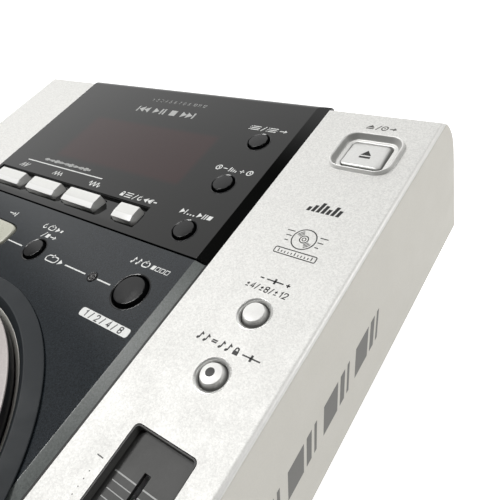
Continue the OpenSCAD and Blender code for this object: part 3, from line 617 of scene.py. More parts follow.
# clear lens of the loop lamp, with a stepped rim and the chip that shows through it
Mesh().lathe(31, 40.1, fillet([(0, 91), (2.5, 91), (2.5, 93), (1.85, 93), (1.85, ZF + 0.12), (1.6, ZF + 0.24), (1.32, ZF + 0.05), (1.12, ZF + 0.05),
                               (1.0, ZF + 0.27), (0.72, ZF + 0.37), (0.4, ZF + 0.40), (0, ZF + 0.40)], [0, 0, 0, 0, 0.05, 0.06, 0.04, 0.04, 0.08, 0.1, 0, 0], 3), 48).make(
    "lamp_lens", "lamp", "base", sharp=30, replaces=("loop_lamp",))


# ---------------------------------------------------------------- white keys with a sloped front
def bevelled(m, width, seg, pick=None):
    """round the edges of the shell collected in m"""
    me = bpy.data.meshes.new("t")
    me.from_pydata(m.v, [], m.f)
    bm = bmesh.new()
    bm.from_mesh(me)
    bmesh.ops.recalc_face_normals(bm, faces=bm.faces)
    ed = [e for e in bm.edges if len(e.link_faces) == 2 and e.calc_face_angle() > math.radians(8) and (pick is None or pick(e))]
    bmesh.ops.bevel(bm, geom=ed, offset=width, segments=seg, profile=0.5, affect="EDGES", clamp_overlap=True)
    out = Mesh()
    bm.verts.ensure_lookup_table()
    out.v = [tuple(v.co) for v in bm.verts]
    out.f = [tuple(v.index for v in f.verts) for f in bm.faces]
    bm.free()
    bpy.data.meshes.remove(me)
    return out


def join(a, b):
    n = len(a.v)
    a.v += b.v
    a.f += [tuple(i + n for i in f) for f in b.f]
    return a


def effect_key(node, x, w):
    """flat top, bright sloped front, drafted ends, softened rims, flange and stem"""
    y, d, top = 66.85, 6.5, DZ + 2.65
    y0, y1, ys = y - d / 2, y + d / 2, 65.8
    z0 = UT - 1.7
    zs = top - (ys - y0) * 0.31
    m = Mesh()
    # side outline in Y and Z, with the half width at each point
    prof = [(y0, z0, 0), (y1, z0, 0), (y1, ZF, 0), (y1 - 0.05, top - 0.1, 0.60), (y1 - 0.45, top, 0.62), (ys, top, 0.62), (y0, zs, 0.34), (y0, ZF, 0)]
    m.loops([[(x - w / 2 + q, a, b) for a, b, q in prof], [(x + w / 2 - q, a, b) for a, b, q in prof]])
    m = bevelled(m, 0.55, 5, lambda e: abs(e.verts[0].co.z - e.verts[1].co.z) > 0.7)
    m = bevelled(m, 0.22, 4, lambda e: max(v.co.z for v in e.verts) > DZ + 1.3 and min(v.co.z for v in e.verts) > DZ + 1.3
                 and e.calc_face_angle() > math.radians(14))
    m.loops([rr_loop(x, y, w + 1.4, 8.0, 0.5, UT - 1.7), rr_loop(x, y, w + 1.4, 8.0, 0.5, UT - 0.6)])
    m.lathe(x, y, [(0, 95.6), (1.6, 95.6), (1.6, UT - 1.65), (0, UT - 1.65)], 32)
    return m.make(node + "_cap", "key_white", node, sharp=40, replaces=(node,))


effect_key("effect_key_left", -53.4, 19.4)
effect_key("effect_key_middle", -28.5, 19.4)
effect_key("effect_key_right", -3.6, 19.4)
effect_key("hold_key", 22.2, 11.0)


# ---------------------------------------------------------------- pale oval keys and the left strip's keys
def pillow(node, loop, size, z0, top, mat, edge, dome, flange):
    """oblong cap: straight wall, rolled rim, crowned top. loop(a, b, z) gives an outline of that half size"""
    a, b = size
    m = Mesh()
    ls = [loop(a, b, z0), loop(a, b, top - dome - edge)]
    for i in range(1, 8):
        t = math.radians(90 * i / 8)
        k = edge * (1 - math.cos(t))
        ls.append(loop(a - k, b - k, top - dome - edge * (1 - math.sin(t))))
    for i in range(1, 9):
        s = 1 - i / 9
        ls.append(loop((a - edge) * s, (b - edge) * s, top - dome * s * s))
    m.loops(ls)
    m.loops([loop(flange[0], flange[1], z0), loop(flange[0], flange[1], z0 + 1.2)])
    return m


for node, x in (("loop_in_key", -55.7), ("loop_out_key", -30.7)):
    m = pillow(node, lambda a, b, z, x=x: oval_loop(x, 40.8, a, b, z), (10.4, 5.7), UT - 1.9, DZ + 1.69, "key_cream", 0.7, 0.25, (11.7, 7.0))
    m.lathe(x, 40.8, [(0, 95.6), (1.6, 95.6), (1.6, UT - 1.85), (0, UT - 1.85)], 32)
    m.make(node + "_cap", "key_cream", node, replaces=(node,))
for node, x, y in (("track_back_key", -97.5, -43), ("track_next_key", -82.5, -43), ("search_back_key", -97.5, -20), ("search_next_key", -82.5, -20)):
    m = pillow(node, lambda a, b, z, x=x, y=y: rr_loop(x, y, 2 * a, 2 * b, min(a, b) - 0.05, z, 10), (6.0, 4.0), UT - 1.9, DZ + 1.6, "key_grey", 0.6, 0.2, (6.8, 4.8))
    m.lathe(x, y, [(0, 95.6), (1.6, 95.6), (1.6, UT - 1.85), (0, UT - 1.85)], 32)
    m.make(node + "_cap", "key_grey", node, replaces=(node,))


# ---------------------------------------------------------------- jog wheel
Mesh().lathe(JX, JY, fillet([(61.5, ZF), (68.4, ZF), (68.6, ZF + 0.25), (69.3, ZF + 0.25), (69.4, ZF + 0.6), (69.2, ZF + 0.72),
                             (64.3, DZ + 3.0), (63.95, DZ + 3.0), (61.5, ZF + 0.35)], [0, 0.05, 0.05, 0.06, 0.08, 0.12, 0.35, 0.2, 0.08]), 384).make(
    "jog_bezel_ring", "bezel", "base", sharp=30, replaces=("jog_bezel",))
Mesh().lathe(JX, JY, fillet([(59.6, 101.0), (61.4, 101.0), (61.4, ZF + 0.1), (61.2, ZF + 0.1), (59.6, DZ)], [0, 0, 0.05, 0.12, 0.15]), 384).make(
    "jog_trim", "ring_silver", "base", sharp=30, replaces=("jog_trim_ring",))
Mesh().lathe(JX, JY, fillet([(3.0, 93.3), (8.5, 93.3), (8.5, 103.0), (56.4, 103.0), (56.4, 93.5), (58.9, 93.5), (58.9, 103.9), (60.2, 103.9),
                             (60.2, 107.0), (59.2, 107.0), (59.2, 105.6), (3.0, 105.6)], [0, 0.2, 0.4, 0.3, 0.2, 0.3, 0.2, 0.3, 0.1, 0, 0, 0]), 384).make(
    "jog_dial_body", "black", "jog", sharp=30, replaces=("jog_dial",))


def jog_face():
    """face plate with a rolled edge, a shallow centre recess and a finger dimple"""
    R, zt = 60.4, DZ + 4.8
    dc, dr, dd = (42 * math.cos(math.radians(-60)), 42 * math.sin(math.radians(-60))), 8.7, 1.3
    n = 360
    prof = [(0, 105.6), (59.1, 105.6), (59.1, 107.0), (60.4, 107.0), (60.4, zt - 0.18), (60.35, zt - 0.08), (60.26, zt - 0.02), (60.15, zt)]
    r = 59.6
    while r > 21.2:
        prof.append((r, zt))
        r -= 0.75
    prof += [(21.0, zt), (20.75, zt - 0.06), (20.6, zt - 0.3), (20.3, zt - 0.3), (10, zt - 0.3), (0, zt - 0.3)]
    m = Mesh().lathe(0, 0, prof, n)
    out = []
    for x, y, z in m.v:
        if z > zt - 1e-6:
            d = math.hypot(x - dc[0], y - dc[1]) / dr
            if d < 1:
                z -= dd * (1 - d * d) ** 1.5
        out.append((x + JX, y + JY, z))
    m.v = out
    return m.make("jog_face", "dial_face", "jog", sharp=30, replaces=("jog_plate",))


jog_face()


# ---------------------------------------------------------------- eject key and its moulded surround
def eject_parts():
    cx, cy = 90.4, 117.6
    m = Mesh()
    # outline loops: sizes and corner radius at each height, from the outer foot over the lip, down the sloped well and over its ledge
    rows = [(22.9, 19.1, 5.6, DZ - 0.9), (22.9, 19.1, 5.6, DZ - 0.02), (22.6, 18.8, 5.5, DZ + 0.05), (22.2, 18.4, 5.35, DZ + 0.40),
            (21.95, 18.15, 5.2, DZ + 0.90), (21.8, 18.0, 5.1, DZ + 1.15), (21.6, 17.8, 5.0, DZ + 1.32), (21.3, 17.5, 4.85, DZ + 1.4),
            (21.02, 17.25, 4.75, DZ + 1.38), (20.65, 16.98, 4.6, DZ + 1.25), (20.2, 16.8, 4.45, DZ + 1.02),
            (19.43, 16.12, 4.2, DZ + 0.38), (18.72, 15.5, 3.95, DZ - 0.22), (18.1, 14.95, 3.7, DZ - 0.74), (17.7, 14.62, 3.45, DZ - 0.83),
            (16.8, 13.6, 2.6, DZ - 0.86), (15.2, 12.55, 2.0, DZ - 0.90), (14.95, 12.32, 1.9, DZ - 1.05), (14.9, 12.28, 1.9, DZ - 1.95), (14.9, 12.28, 1.9, UT - 0.05),
            (15.8, 13.2, 2.7, UT - 0.05)]
    m.loops([rr_loop(cx, cy, w, d, r, z, 10) for w, d, r, z in rows], closed_tube=True)
    m.make("eject_surround", "silver_rim", "base", sharp=50)
    k = Mesh()
    w, d, r, z0 = 14.4, 11.8, 1.5, UT - 1.9
    n_y, n_x = 24, 24
    # crowned cap: the top follows a shallow arch that falls towards the rear
    def top(x, y):
        u, v = (x - cx) / (w / 2), (y - cy) / (d / 2)
        return 102.3 - 0.10 * max(0.0, abs(u) - 0.45) ** 2 / 0.3 - 0.9 * max(0.0, v - 0.30) ** 2 - 0.25 * max(0.0, -v - 0.72) ** 2
    ls = [rr_loop(cx, cy, w, d, r, z0, 8), rr_loop(cx, cy, w, d, r, 100.9, 8)]
    for q in (0.0, 0.10, 0.26, 0.50, 0.80):
        e = 0.8
        dz = e - math.sqrt(max(0.0, e * e - (e - q) ** 2))
        lp = rr_loop(cx - 1.1 * q, cy + 0.15 * q, w - 3.0 * q, d - 1.1 * q, max(0.8, r - q), 0, 8)
        ls.append([(x, y, min(top(x, y) - dz, 102.3)) for x, y, _ in lp])
    for f in (0.93, 0.82, 0.68, 0.5, 0.3, 0.1):
        lp = rr_loop(cx - 0.88 * f, cy + 0.12 * f, (w - 2.4) * f, (d - 0.88) * f, 0.8 * f, 0, 8)
        ls.append([(x, y, min(top(x, y), 102.3)) for x, y, _ in lp])
    k.loops(ls)
    k.loops([rr_loop(cx, cy, 16.6, 13.8, 2.5, UT - 1.9), rr_loop(cx, cy, 16.6, 13.8, 2.5, UT - 0.7)])
    k.lathe(cx, cy, [(0, 95.6), (1.6, 95.6), (1.6, UT - 1.85), (0, UT - 1.85)], 32)
    k.make("eject_key_cap", "key_silver", "eject_key", sharp=60, replaces=("eject_key",))


eject_parts()


# ---------------------------------------------------------------- printed marks, painted glints and a painted shadow: flat shapes, most a few hundredths of a millimetre thick
def strokes(ch):
    """lines of a plain figure or sign, one unit tall: (points, closed)"""
    def f(pts, r, c=False):
        return fillet(pts, r, 4, c), c
    ring = lambda y0, y1, r: f([(0, y0), (0.56, y0), (0.56, y1), (0, y1)], r, True)
    return {
        "0": [ring(0, 1, 0.26)],
        "1": [([(0.08, 0.76), (0.34, 1.0), (0.34, 0)], False)],
        "2": [f([(0, 0.72), (0, 1), (0.56, 1), (0.56, 0.58), (0, 0), (0.58, 0)], [0, 0.26, 0.26, 0.2, 0, 0])],
        "3": [f([(0.02, 0.80), (0.02, 1), (0.54, 1), (0.54, 0.54), (0.2, 0.54)], [0, 0.2, 0.22, 0.2, 0]),
              f([(0.2, 0.54), (0.58, 0.54), (0.58, 0), (0, 0), (0, 0.2)], [0, 0.24, 0.26, 0.24, 0])],
        "4": [([(0.44, 0), (0.44, 1.0), (0, 0.3), (0.62, 0.3)], False)],
        "5": [f([(0.54, 1), (0.06, 1), (0.04, 0.56), (0.58, 0.6), (0.58, 0), (0, 0), (0, 0.2)], [0, 0, 0, 0.26, 0.26, 0.2, 0])],
        "6": [f([(0.54, 0.82), (0.54, 1), (0, 1), (0, 0), (0.56, 0), (0.56, 0.56), (0.04, 0.56)], [0, 0.2, 0.26, 0.26, 0.26, 0.26, 0])],
        "7": [([(0, 1), (0.58, 1), (0.2, 0)], False)],
        "8": [ring(0.53, 1, 0.22), ring(0, 0.53, 0.24)],
        "9": [f([(0.02, 0.18), (0.02, 0), (0.56, 0), (0.56, 1), (0, 1), (0, 0.44), (0.52, 0.44)], [0, 0.2, 0.26, 0.26, 0.26, 0.26, 0])],
        "+": [([(0.04, 0.45), (0.6, 0.45)], False), ([(0.32, 0.17), (0.32, 0.73)], False)],
        "-": [([(0.06, 0.45), (0.58, 0.45)], False)],
        "~": [([(0.06, 0.6), (0.54, 0.6)], False), ([(0.3, 0.36), (0.3, 0.84)], False), ([(0.06, 0.1), (0.54, 0.1)], False)],
        "/": [([(0.0, -0.08), (0.36, 1.06)], False)],
    }[ch]


class Print:
    """collects flat shapes on the plane z, or on a side wall when wall is its x.
    at() sets where the next shape starts, how tall one unit is and how much it leans"""

    def __init__(self, z=None, wall=None, h=0.02):
        self.m, self.z, self.wall, self.h = Mesh(), z, wall, h
        self.at(0, 0, 1)

    def at(self, x, y, size, lean=0.0):
        self.x, self.y, self.s, self.q = x, y, size, lean
        return self

    def p3(self, p, top):
        u, v = self.x + self.s * (p[0] + self.q * p[1]), self.y + self.s * p[1]
        k = self.h if top else -0.02
        if self.wall is None:
            return (u, v, self.z + k)
        sgn = math.copysign(1, self.wall)
        return (self.wall + sgn * k, sgn * u, v)

    def line(self, pts, w, closed=False):
        """ribbon w millimetres wide along the points, with mitred corners"""
        w = w / self.s
        P = [Vector(p) for p in pts]
        n, sec = len(P), []
        for i in range(n):
            da = (P[i] - P[i - 1]).normalized() if (i or closed) else None
            db = (P[(i + 1) % n] - P[i]).normalized() if (i < n - 1 or closed) else None
            da, db = da or db, db or da
            t = da + db
            t = t.normalized() if t.length > 1e-6 else da
            nv = Vector((-t.y, t.x))
            k = 1 / max(0.45, nv.dot(Vector((-da.y, da.x))))
            a, b = P[i] + nv * (w / 2 * k), P[i] - nv * (w / 2 * k)
            sec.append([self.p3(a, False), self.p3(a, True), self.p3(b, True), self.p3(b, False)])
        self.m.loops(sec, closed_tube=closed)
        return self

    def poly(self, pts):
        self.m.loops([[self.p3(p, False) for p in pts], [self.p3(p, True) for p in pts]])
        return self

    def arc(self, cx, cy, r, a0, a1, w, n=28):
        full = abs(a1 - a0) >= 360
        n = max(6, int(n * abs(a1 - a0) / 360)) if not full else n
        pts = [(cx + r * math.cos(math.radians(a0 + (a1 - a0) * i / n)), cy + r * math.sin(math.radians(a0 + (a1 - a0) * i / n)))
               for i in range(n if full else n + 1)]
        return self.line(pts, w, full)

    def dot(self, cx, cy, r, n=28):
        return self.poly([(cx + r * math.cos(2 * math.pi * i / n), cy + r * math.sin(2 * math.pi * i / n)) for i in range(n)])

    def bar(self, x0, x1, y0, y1):
        return self.poly([(x0, y0), (x1, y0), (x1, y1), (x0, y1)])

    def figures(self, text, w, gap=0.28):
        x = 0.0
        sx, wide = self.x, {"1": 0.42, "/": 0.4, " ": 0.3}
        for ch in text:
            if ch != " ":
                self.x = sx + self.s * x
                for pts, closed in strokes(ch):
                    self.line(pts, w, closed)
            x += wide.get(ch, 0.58) + gap
        self.x = sx
        return self

    # pictograms, one unit tall
    def play(self, x=0.0, w=None):
        t = [(x, 0), (x + 0.86, 0.5), (x, 1)]
        return self.line(t, w, True) if w else self.poly(t)

    def back(self, x=0.0, w=None):
        t = [(x + 0.86, 0), (x + 0.86, 1), (x, 0.5)]
        return self.line(t, w, True) if w else self.poly(t)

    def bars(self, x=0.0, k=0.22, gap=0.24):
        return self.bar(x, x + k, 0, 1).bar(x + k + gap, x + 2 * k + gap, 0, 1)

    def clock(self, x, w):
        return self.arc(x + 0.5, 0.5, 0.5, 0, 360, w).line([(x + 0.5, 0.82), (x + 0.5, 0.5), (x + 0.72, 0.36)], w)

    def lock(self, x, w):
        self.bar(x, x + 0.78, 0, 0.55)
        return self.line([(x + 0.16, 0.55), (x + 0.16, 0.72)] + [(x + 0.39 + 0.23 * math.cos(math.radians(180 - 30 * i)), 0.74 + 0.23 * math.sin(math.radians(180 - 30 * i)))
                         for i in range(1, 6)] + [(x + 0.62, 0.72), (x + 0.62, 0.55)], w)

    def note(self, x, w):
        self.dot(x + 0.2, 0.16, 0.2, 18)
        return self.line([(x + 0.37, 0.16), (x + 0.37, 1.0), (x + 0.68, 0.74)], w)

    def turn(self, x, w):
        """arrow round a circle"""
        self.arc(x + 0.5, 0.48, 0.42, 60, 345, w)
        return self.poly([(x + 0.40, 1.12), (x + 0.40, 0.62), (x + 0.80, 0.88)])

    def lap(self, x, length, w):
        """a closed lap with an arrow head on its upper side"""
        self.line(fillet([(x, 0.06), (x + length, 0.06), (x + length, 0.94), (x, 0.94)], 0.42, 5), w, True)
        c = x + length / 2
        return self.poly([(c - 0.20, 0.60), (c + 0.30, 0.94), (c - 0.20, 1.28)])

    def list(self, x, length, w):
        for y in (0.08, 0.5, 0.92):
            self.dot(x + 0.1, y, 0.11, 12)
            self.line([(x + 0.38, y), (x + length, y)], w)
        return self

    def fader(self, x, length, w):
        self.line([(x, 0.45), (x + length, 0.45)], w)
        c = x + length / 2
        return self.bar(c - 0.16, c + 0.16, 0.0, 0.9)

    def arrow(self, x, length, w):
        self.line([(x, 0.5), (x + length - 0.4, 0.5)], w)
        return self.poly([(x + length - 0.55, 0.12), (x + length, 0.5), (x + length - 0.55, 0.88)])

    def wave(self, x, length, turns, w, amp=0.5, n=12):
        k = int(n * turns)
        return self.line([(x + length * i / k, 0.5 + amp * math.sin(2 * math.pi * turns * i / k)) for i in range(k + 1)], w)

    def put(self, name, mat, body="base"):
        return self.m.make(name, mat, body, smooth=False)


def marks():
    T = 0.40                     # stroke of the small marks
    w = Print(ZF)                # on the display window and jog panel
    # small numbers and a row of transport signs over the display
    w.at(-21.0, 129.2, 1.5, 0.12)
    for i in range(12):
        w.at(-21.2 + 2.78 * i, 129.15, 1.55, 0.12).figures(str(i + 1), 0.26, 0.22)
    w.put("marks_track_numbers", "ink_grey")
    w = Print(ZF)
    w.at(-24.6, 121.0, 3.7, 0.0)
    w.bar(0.0, 0.22, 0, 1).back(0.30).back(1.16)
    w.play(2.85).bar(3.95, 4.2, 0, 1).bar(4.45, 4.7, 0, 1)
    w.bar(5.55, 6.5, 0.03, 0.97)
    w.play(7.35).play(8.21).bar(9.15, 9.37, 0, 1)
    w.put("marks_transport", "ink_bright")

    w = Print(ZF)
    # bracket over the three effect keys with a sound wave above it
    w.at(0, 0, 1).bar(-56.35, -4.45, 78.72, 79.22)
    for i in range(33):
        a = 0.28 + 0.72 * abs(math.sin(0.9 * i) * math.cos(0.31 * i + 0.4))
        w.at(-46.2 + 0.97 * i, 81.5, 1.05, 0.2).line([(0, -a), (0, a)], 0.42)
    w.at(-58.0, 74.5, 2.2, 0.2).line([(0, 0), (0.9, 1), (0.9, 0), (1.8, 1), (1.8, 0), (2.7, 1)], T)
    w.at(-33.4, 74.5, 2.2, 0.2).line([(0, 0.1), (0.45, 0.95), (0.9, 0.1), (1.35, 0.95), (1.8, 0.1), (2.25, 0.95), (2.7, 0.1)], T)
    w.at(-9.2, 74.5, 2.2, 0.2).wave(0, 3.0, 3, T + 0.04)
    # hold
    w.at(10.7, 73.9, 2.2, 0.2).lock(0, T).line([(1.15, 0.5), (2.75, 0.5)], T).line([(1.15, 0.05), (2.75, 0.05)], T).line([(1.15, 0.95), (2.75, 0.95)], T)
    w.line([(3.25, -0.1), (3.75, 1.1)], T)
    w.turn(4.25, T).back(5.62).back(6.50).bar(7.45, 7.62, 0, 1).bar(7.95, 8.7, 0.38, 0.62)
    # beside the three round keys
    w.at(41.7, 73.9, 2.2, 0.2).play(0).bar(0.98, 1.15, 0, 1).dot(1.75, 0.14, 0.15).dot(2.35, 0.14, 0.15).dot(2.95, 0.14, 0.15)
    w.play(3.55).bars(4.62, 0.2, 0.24).bar(5.5, 6.3, 0.1, 0.9)
    w.at(40.7, 96.9, 2.2, 0.2).clock(0, T).line([(1.45, 0.5), (2.3, 0.5)], T).bar(2.75, 2.95, 0, 1).bar(3.2, 3.4, 0, 0.8).bar(3.65, 3.85, 0, 0.6).bar(4.1, 4.3, 0, 0.4)
    w.line([(4.85, 0.5), (5.7, 0.5)], T).line([(5.27, 0.1), (5.27, 0.9)], T).clock(6.3, T)
    w.at(40.2, 120.3, 2.2, 0.2).list(0, 2.1, T).line([(2.65, -0.1), (3.15, 1.1)], T).list(3.65, 2.0, T).arrow(6.2, 1.5, T)
    # loop section
    w.at(-57.6, 50.0, 2.2, 0.2).line([(0, 0), (0, 1)], T + 0.05).arrow(0.35, 1.45, T)
    w.at(-33.4, 50.0, 2.2, 0.2).arrow(0, 1.9, T).line([(2.15, 0), (2.15, 1)], T + 0.05)
    w.at(-9.6, 50.0, 2.2, 0.2).turn(0, T).lap(1.55, 1.5, T).play(3.6).bar(4.75, 5.2, 0.25, 0.75)
    w.at(-6.0, 46.5, 2.2, 0.2).line([(0, -0.1), (0.5, 1.1)], T).bar(0.95, 1.75, 0.1, 0.9).arrow(2.05, 1.5, T)
    w.at(5.2, 38.75, 2.7, 0.2).lap(0.1, 2.2, 0.42).poly([(2.75, 0.1), (2.75, 0.9), (3.45, 0.5)])
    w.at(0, 0, 1).bar(-19.4, -9.95, 39.82, 40.30).bar(16.4, 27.5, 39.82, 40.30).bar(33.5, 40.0, 39.82, 40.30)
    w.at(39.7, 50.0, 2.2, 0.2).note(0, T).note(1.05, T).lap(2.25, 1.3, T)
    for i in range(4):
        x = 4.15 + 0.92 * i
        if i == 0:
            w.bar(x, x + 0.66, 0.1, 0.84)
        else:
            w.line([(x, 0.14), (x + 0.62, 0.14), (x + 0.62, 0.8), (x, 0.8)], 0.24, True)
    w.put("marks_dark_column", "ink_white")
    # white plate with numbers under the large key
    w = Print(ZF)
    w.at(0, 0, 1).poly([(x, y) for x, y, _ in rr_loop(48.55, 28.87, 21.9, 2.95, 0.95, 0, 6)])
    w.put("marks_plate", "ink_white")
    w = Print(ZF, h=0.04)
    for i, ch in enumerate("1/2/4/8/16"[:7]):
        w.at(39.6 + 2.62 * i, 27.85, 2.05, 0.12).figures(ch, 0.40)
    w.put("marks_plate_numbers", "ink_panel")

    # on the silver deck
    w = Print(DZ)
    w.at(84.2, 130.2, 2.1, 0.2).bar(0, 1.3, 0, 0.24).poly([(0, 0.38), (1.3, 0.38), (0.65, 1.0)])
    w.line([(1.75, -0.05), (2.2, 1.05)], 0.42).arc(3.05, 0.5, 0.47, 0, 360, 0.42, 32).dot(3.05, 0.5, 0.13, 16)
    w.arrow(3.95, 1.15, 0.42)
    w.put("marks_eject", "ink_mid")
    w = Print(DZ)
    # level bars
    for i, a in enumerate((0.42, 0.66, 1.0, 0.80, 0.52, 0.90, 0.62)):
        w.at(83.7 + 1.68 * i, 88.7, 4.3, 0.2).bar(0, 0.27, 0, a)
    # plain disc in outline over a narrow scale box
    w.at(0, 0, 1).arc(89.4, 77.6, 3.85, 0, 360, 0.36, 72).arc(89.4, 77.6, 1.35, 0, 360, 0.32, 36).arc(89.4, 77.6, 0.6, 0, 360, 0.28, 24)
    for r in (1.95, 2.5, 3.05):
        w.arc(89.4, 77.6, r, 112, 158, 0.27, 60).arc(89.4, 77.6, r, -68, -22, 0.27, 60)
    for i, dx in enumerate((2.6, 1.9, 1.2)):
        w.at(0, 0, 1).bar(82.6 + 0.5 * i, 82.6 + 0.5 * i + dx, 79.5 - 1.9 * i, 79.83 - 1.9 * i).bar(93.9, 93.9 + dx, 79.5 - 1.9 * i, 79.83 - 1.9 * i)
    w.line([(x, y) for x, y, _ in rr_loop(89.7, 71.65, 14.0, 2.15, 0.5, 0, 4)], 0.34, True)
    for i in range(11):
        w.bar(84.1 + 1.12 * i - 0.15, 84.1 + 1.12 * i + 0.15, 71.05, 72.3 if i % 5 == 0 else 71.8)
    # pitch range and key lock
    w.at(84.5, 60.05, 2.05, 0.0).line([(0, 0.45), (0.62, 0.45)], 0.42).fader(1.1, 2.7, 0.42).line([(4.25, 0.45), (4.87, 0.45)], 0.42).line([(4.56, 0.14), (4.56, 0.76)], 0.42)
    w.at(81.6, 56.75, 1.85, 0.14).figures("~4/~8/~12", 0.34, 0.34)
    w.at(78.6, 36.75, 2.15, 0.14).note(0, 0.42).note(1.05, 0.42).line([(2.25, 0.42), (3.05, 0.42)], 0.42).line([(2.25, 0.68), (3.05, 0.68)], 0.42).note(3.5, 0.42).note(4.55, 0.42)
    w.at(91.0, 36.75, 2.15, 0.0).lock(0.0, 0.42).fader(1.35, 2.6, 0.42)
    # slider scale on the deck
    for y in (-0.06, -30.7, -61.34):
        w.at(0, 0, 1).bar(75.7, 77.85, y - 0.15, y + 0.15)
    for i in range(13):
        for y in (-3.95 - 1.97 * i, -57.45 + 1.97 * i):
            w.dot(76.8, y, 0.17, 12)
    w.at(72.4, -62.7, 2.6, 0.0).line([(0, 0.5), (0.7, 0.5)], 0.42).line([(0.35, 0.15), (0.35, 0.85)], 0.42)
    # left strip
    w.at(-93.4, -96.5, 3.2, 0.0).play(0).bars(1.15, 0.24, 0.26)
    w.at(-92.2, -64.0, 3.0, 0.0).bar(0, 0.22, 0, 1).back(0.4)
    w.at(-101.0, -37.3, 2.4, 0.0).bar(0, 0.18, 0, 1).back(0.26).back(1.2)
    w.at(-85.9, -37.3, 2.4, 0.0).play(0).play(0.94).bar(1.90, 2.08, 0, 1)
    w.at(-100.4, -14.4, 2.4, 0.0).back(0).back(0.94)
    w.at(-85.4, -14.4, 2.4, 0.0).play(0).play(0.94)
    w.put("marks_deck", "ink_dark")

    # grey arcs and a grey spot on the loop lamp: painted glints, laid out as a chip and its foot ring
    w = Print(ZF + 0.055, h=0.03)
    w.at(0, 0, 1).arc(31.0, 40.1, 1.22, 205, 300, 0.16, 90).arc(31.0, 40.1, 1.22, 20, 80, 0.16, 90)
    w.z = ZF + 0.40
    w.h = 0.02
    w.poly([(30.72, 39.95), (31.0, 39.75), (31.22, 40.1), (30.95, 40.32)])
    w.put("lamp_glints", "ink_grey")

    # scale lines on the floor of the slider recess
    w = Print(100.0)
    w.at(0, 0, 1)
    for i in range(31):
        y = -0.45 - 2.0167 * i
        major = i % 15 == 0
        a, b, k = (80.8, 98.2, 0.17) if major else (81.7, 97.2, 0.11)
        w.bar(a, 88.2, y - k, y + k).bar(90.4, b, y - k, y + k)
    w.put("marks_slider_scale", "ink_scale")

    # release sign on the eject key, dot on the key-lock key
    w = Print(102.3)
    w.at(88.35, 115.8, 1.0, 0.0).bar(0, 3.9, 0, 0.85).poly([(0.05, 1.4), (3.85, 1.4), (1.95, 3.75)])
    w.put("marks_eject_key", "ink_key", "eject_key")
    top, R, dome = DZ + 1.0, 3.95 - 0.88 - 0.18, 0.16
    m = Mesh()
    crown = lambda x, y: top - dome * (math.hypot(x - 89.8, y - 29.6) / R) ** 2
    rings = []
    for r in (1.30, 1.30, 1.1, 0.8, 0.5, 0.2):
        rings.append([(89.42 + r * math.cos(2 * math.pi * i / 40), 29.75 + r * math.sin(2 * math.pi * i / 40)) for i in range(40)])
    m.loops([[(x, y, crown(x, y) + (0.018 if j else -0.08)) for x, y in ring] for j, ring in enumerate(rings)])
    m.make("marks_lock_dot", "ink_dark", "tempo_lock_key", sharp=40)

    # dark strip over the outer 0.85 mm of the jog panel's bevel and into the seam: a painted shadow of the seam between
    # the bevel and the deck
    zb, zf = DZ - 0.5, ZF
    slope = lambda x: zb + (66.0 - x) * (zf - zb) / 4.6
    a, b = slope(65.15) + 0.02, slope(66.0) + 0.02
    m = Mesh()
    m.loops([[(65.15, y, a), (66.0, y, b), (66.17, y, b - 0.05), (66.17, y, b - 0.55), (65.15, y, a - 0.4)] for y in (-133.7, 58.45)])
    m.make("panel_seam_shadow", "ink_dark", "base", smooth=False)

    # white line in the groove of the slider knob
    Mesh().prism([(82.35, -30.96), (96.25, -30.96), (96.25, -30.44), (82.35, -30.44)], 107.55, 107.72).make(
        "marks_knob_line", "ink_white", "slider", smooth=False)

    # slanted bars along both side walls
    for wall in (109.0, -109.0):
        w = Print(wall=wall, h=0.03)
        s = 1 if wall > 0 else -1
        for k in range(7):
            y0 = -62.0 + 20.2 * k
            for a, b in ((0.0, 8.6), (10.2, 13.0), (14.6, 16.0)):
                if s > 0:
                    w.at(y0, 65.2, 1.0, 0.42).poly([(a, 0), (b, 0), (b, 10.4), (a, 10.4)])
                else:
                    w.at(-y0, 65.2, 1.0, -0.42).poly([(-a, 0), (-b, 0), (-b, 10.4), (-a, 10.4)])
        w.put("marks_side_" + ("right" if s > 0 else "left"), "ink_brand")


marks()


# ---------------------------------------------------------------- polished rims of the round key holes
def hole_rims():
    m = Mesh()
    for x, y, r in ((49.1, 114.1, 4.6), (49.2, 90.7, 4.6), (49.3, 67.7, 4.6), (-2.9, 40.8, 4.9), (48.7, 40.8, 6.55)):
        m.lathe(x, y, fillet([(r - 0.26, ZF - 1.6), (r + 0.32, ZF - 1.6), (r + 0.36, ZF + 0.07), (r + 0.14, ZF + 0.08), (r - 0.20, ZF - 0.05), (r - 0.26, ZF - 0.4)],
                             [0, 0, 0.03, 0.3, 0.12, 0.05], 5), 96)
    m.make("key_hole_rims", "rim_black", "base", sharp=40)
    m = Mesh()
    for x, y, r in ((89.8, 49.6, 4.35), (89.8, 29.6, 4.35)):
        m.lathe(x, y, fillet([(r - 0.24, DZ - 2.0), (r + 0.8, DZ - 2.0), (r + 0.86, DZ + 0.02), (r + 0.68, DZ + 0.06), (r + 0.20, DZ - 0.20), (r - 0.24, DZ - 0.78)],
                             [0, 0, 0.02, 0.08, 0.3, 0.1], 4), 96)
    m.make("tempo_key_rims", "rim_silver", "base", sharp=50)


hole_rims()


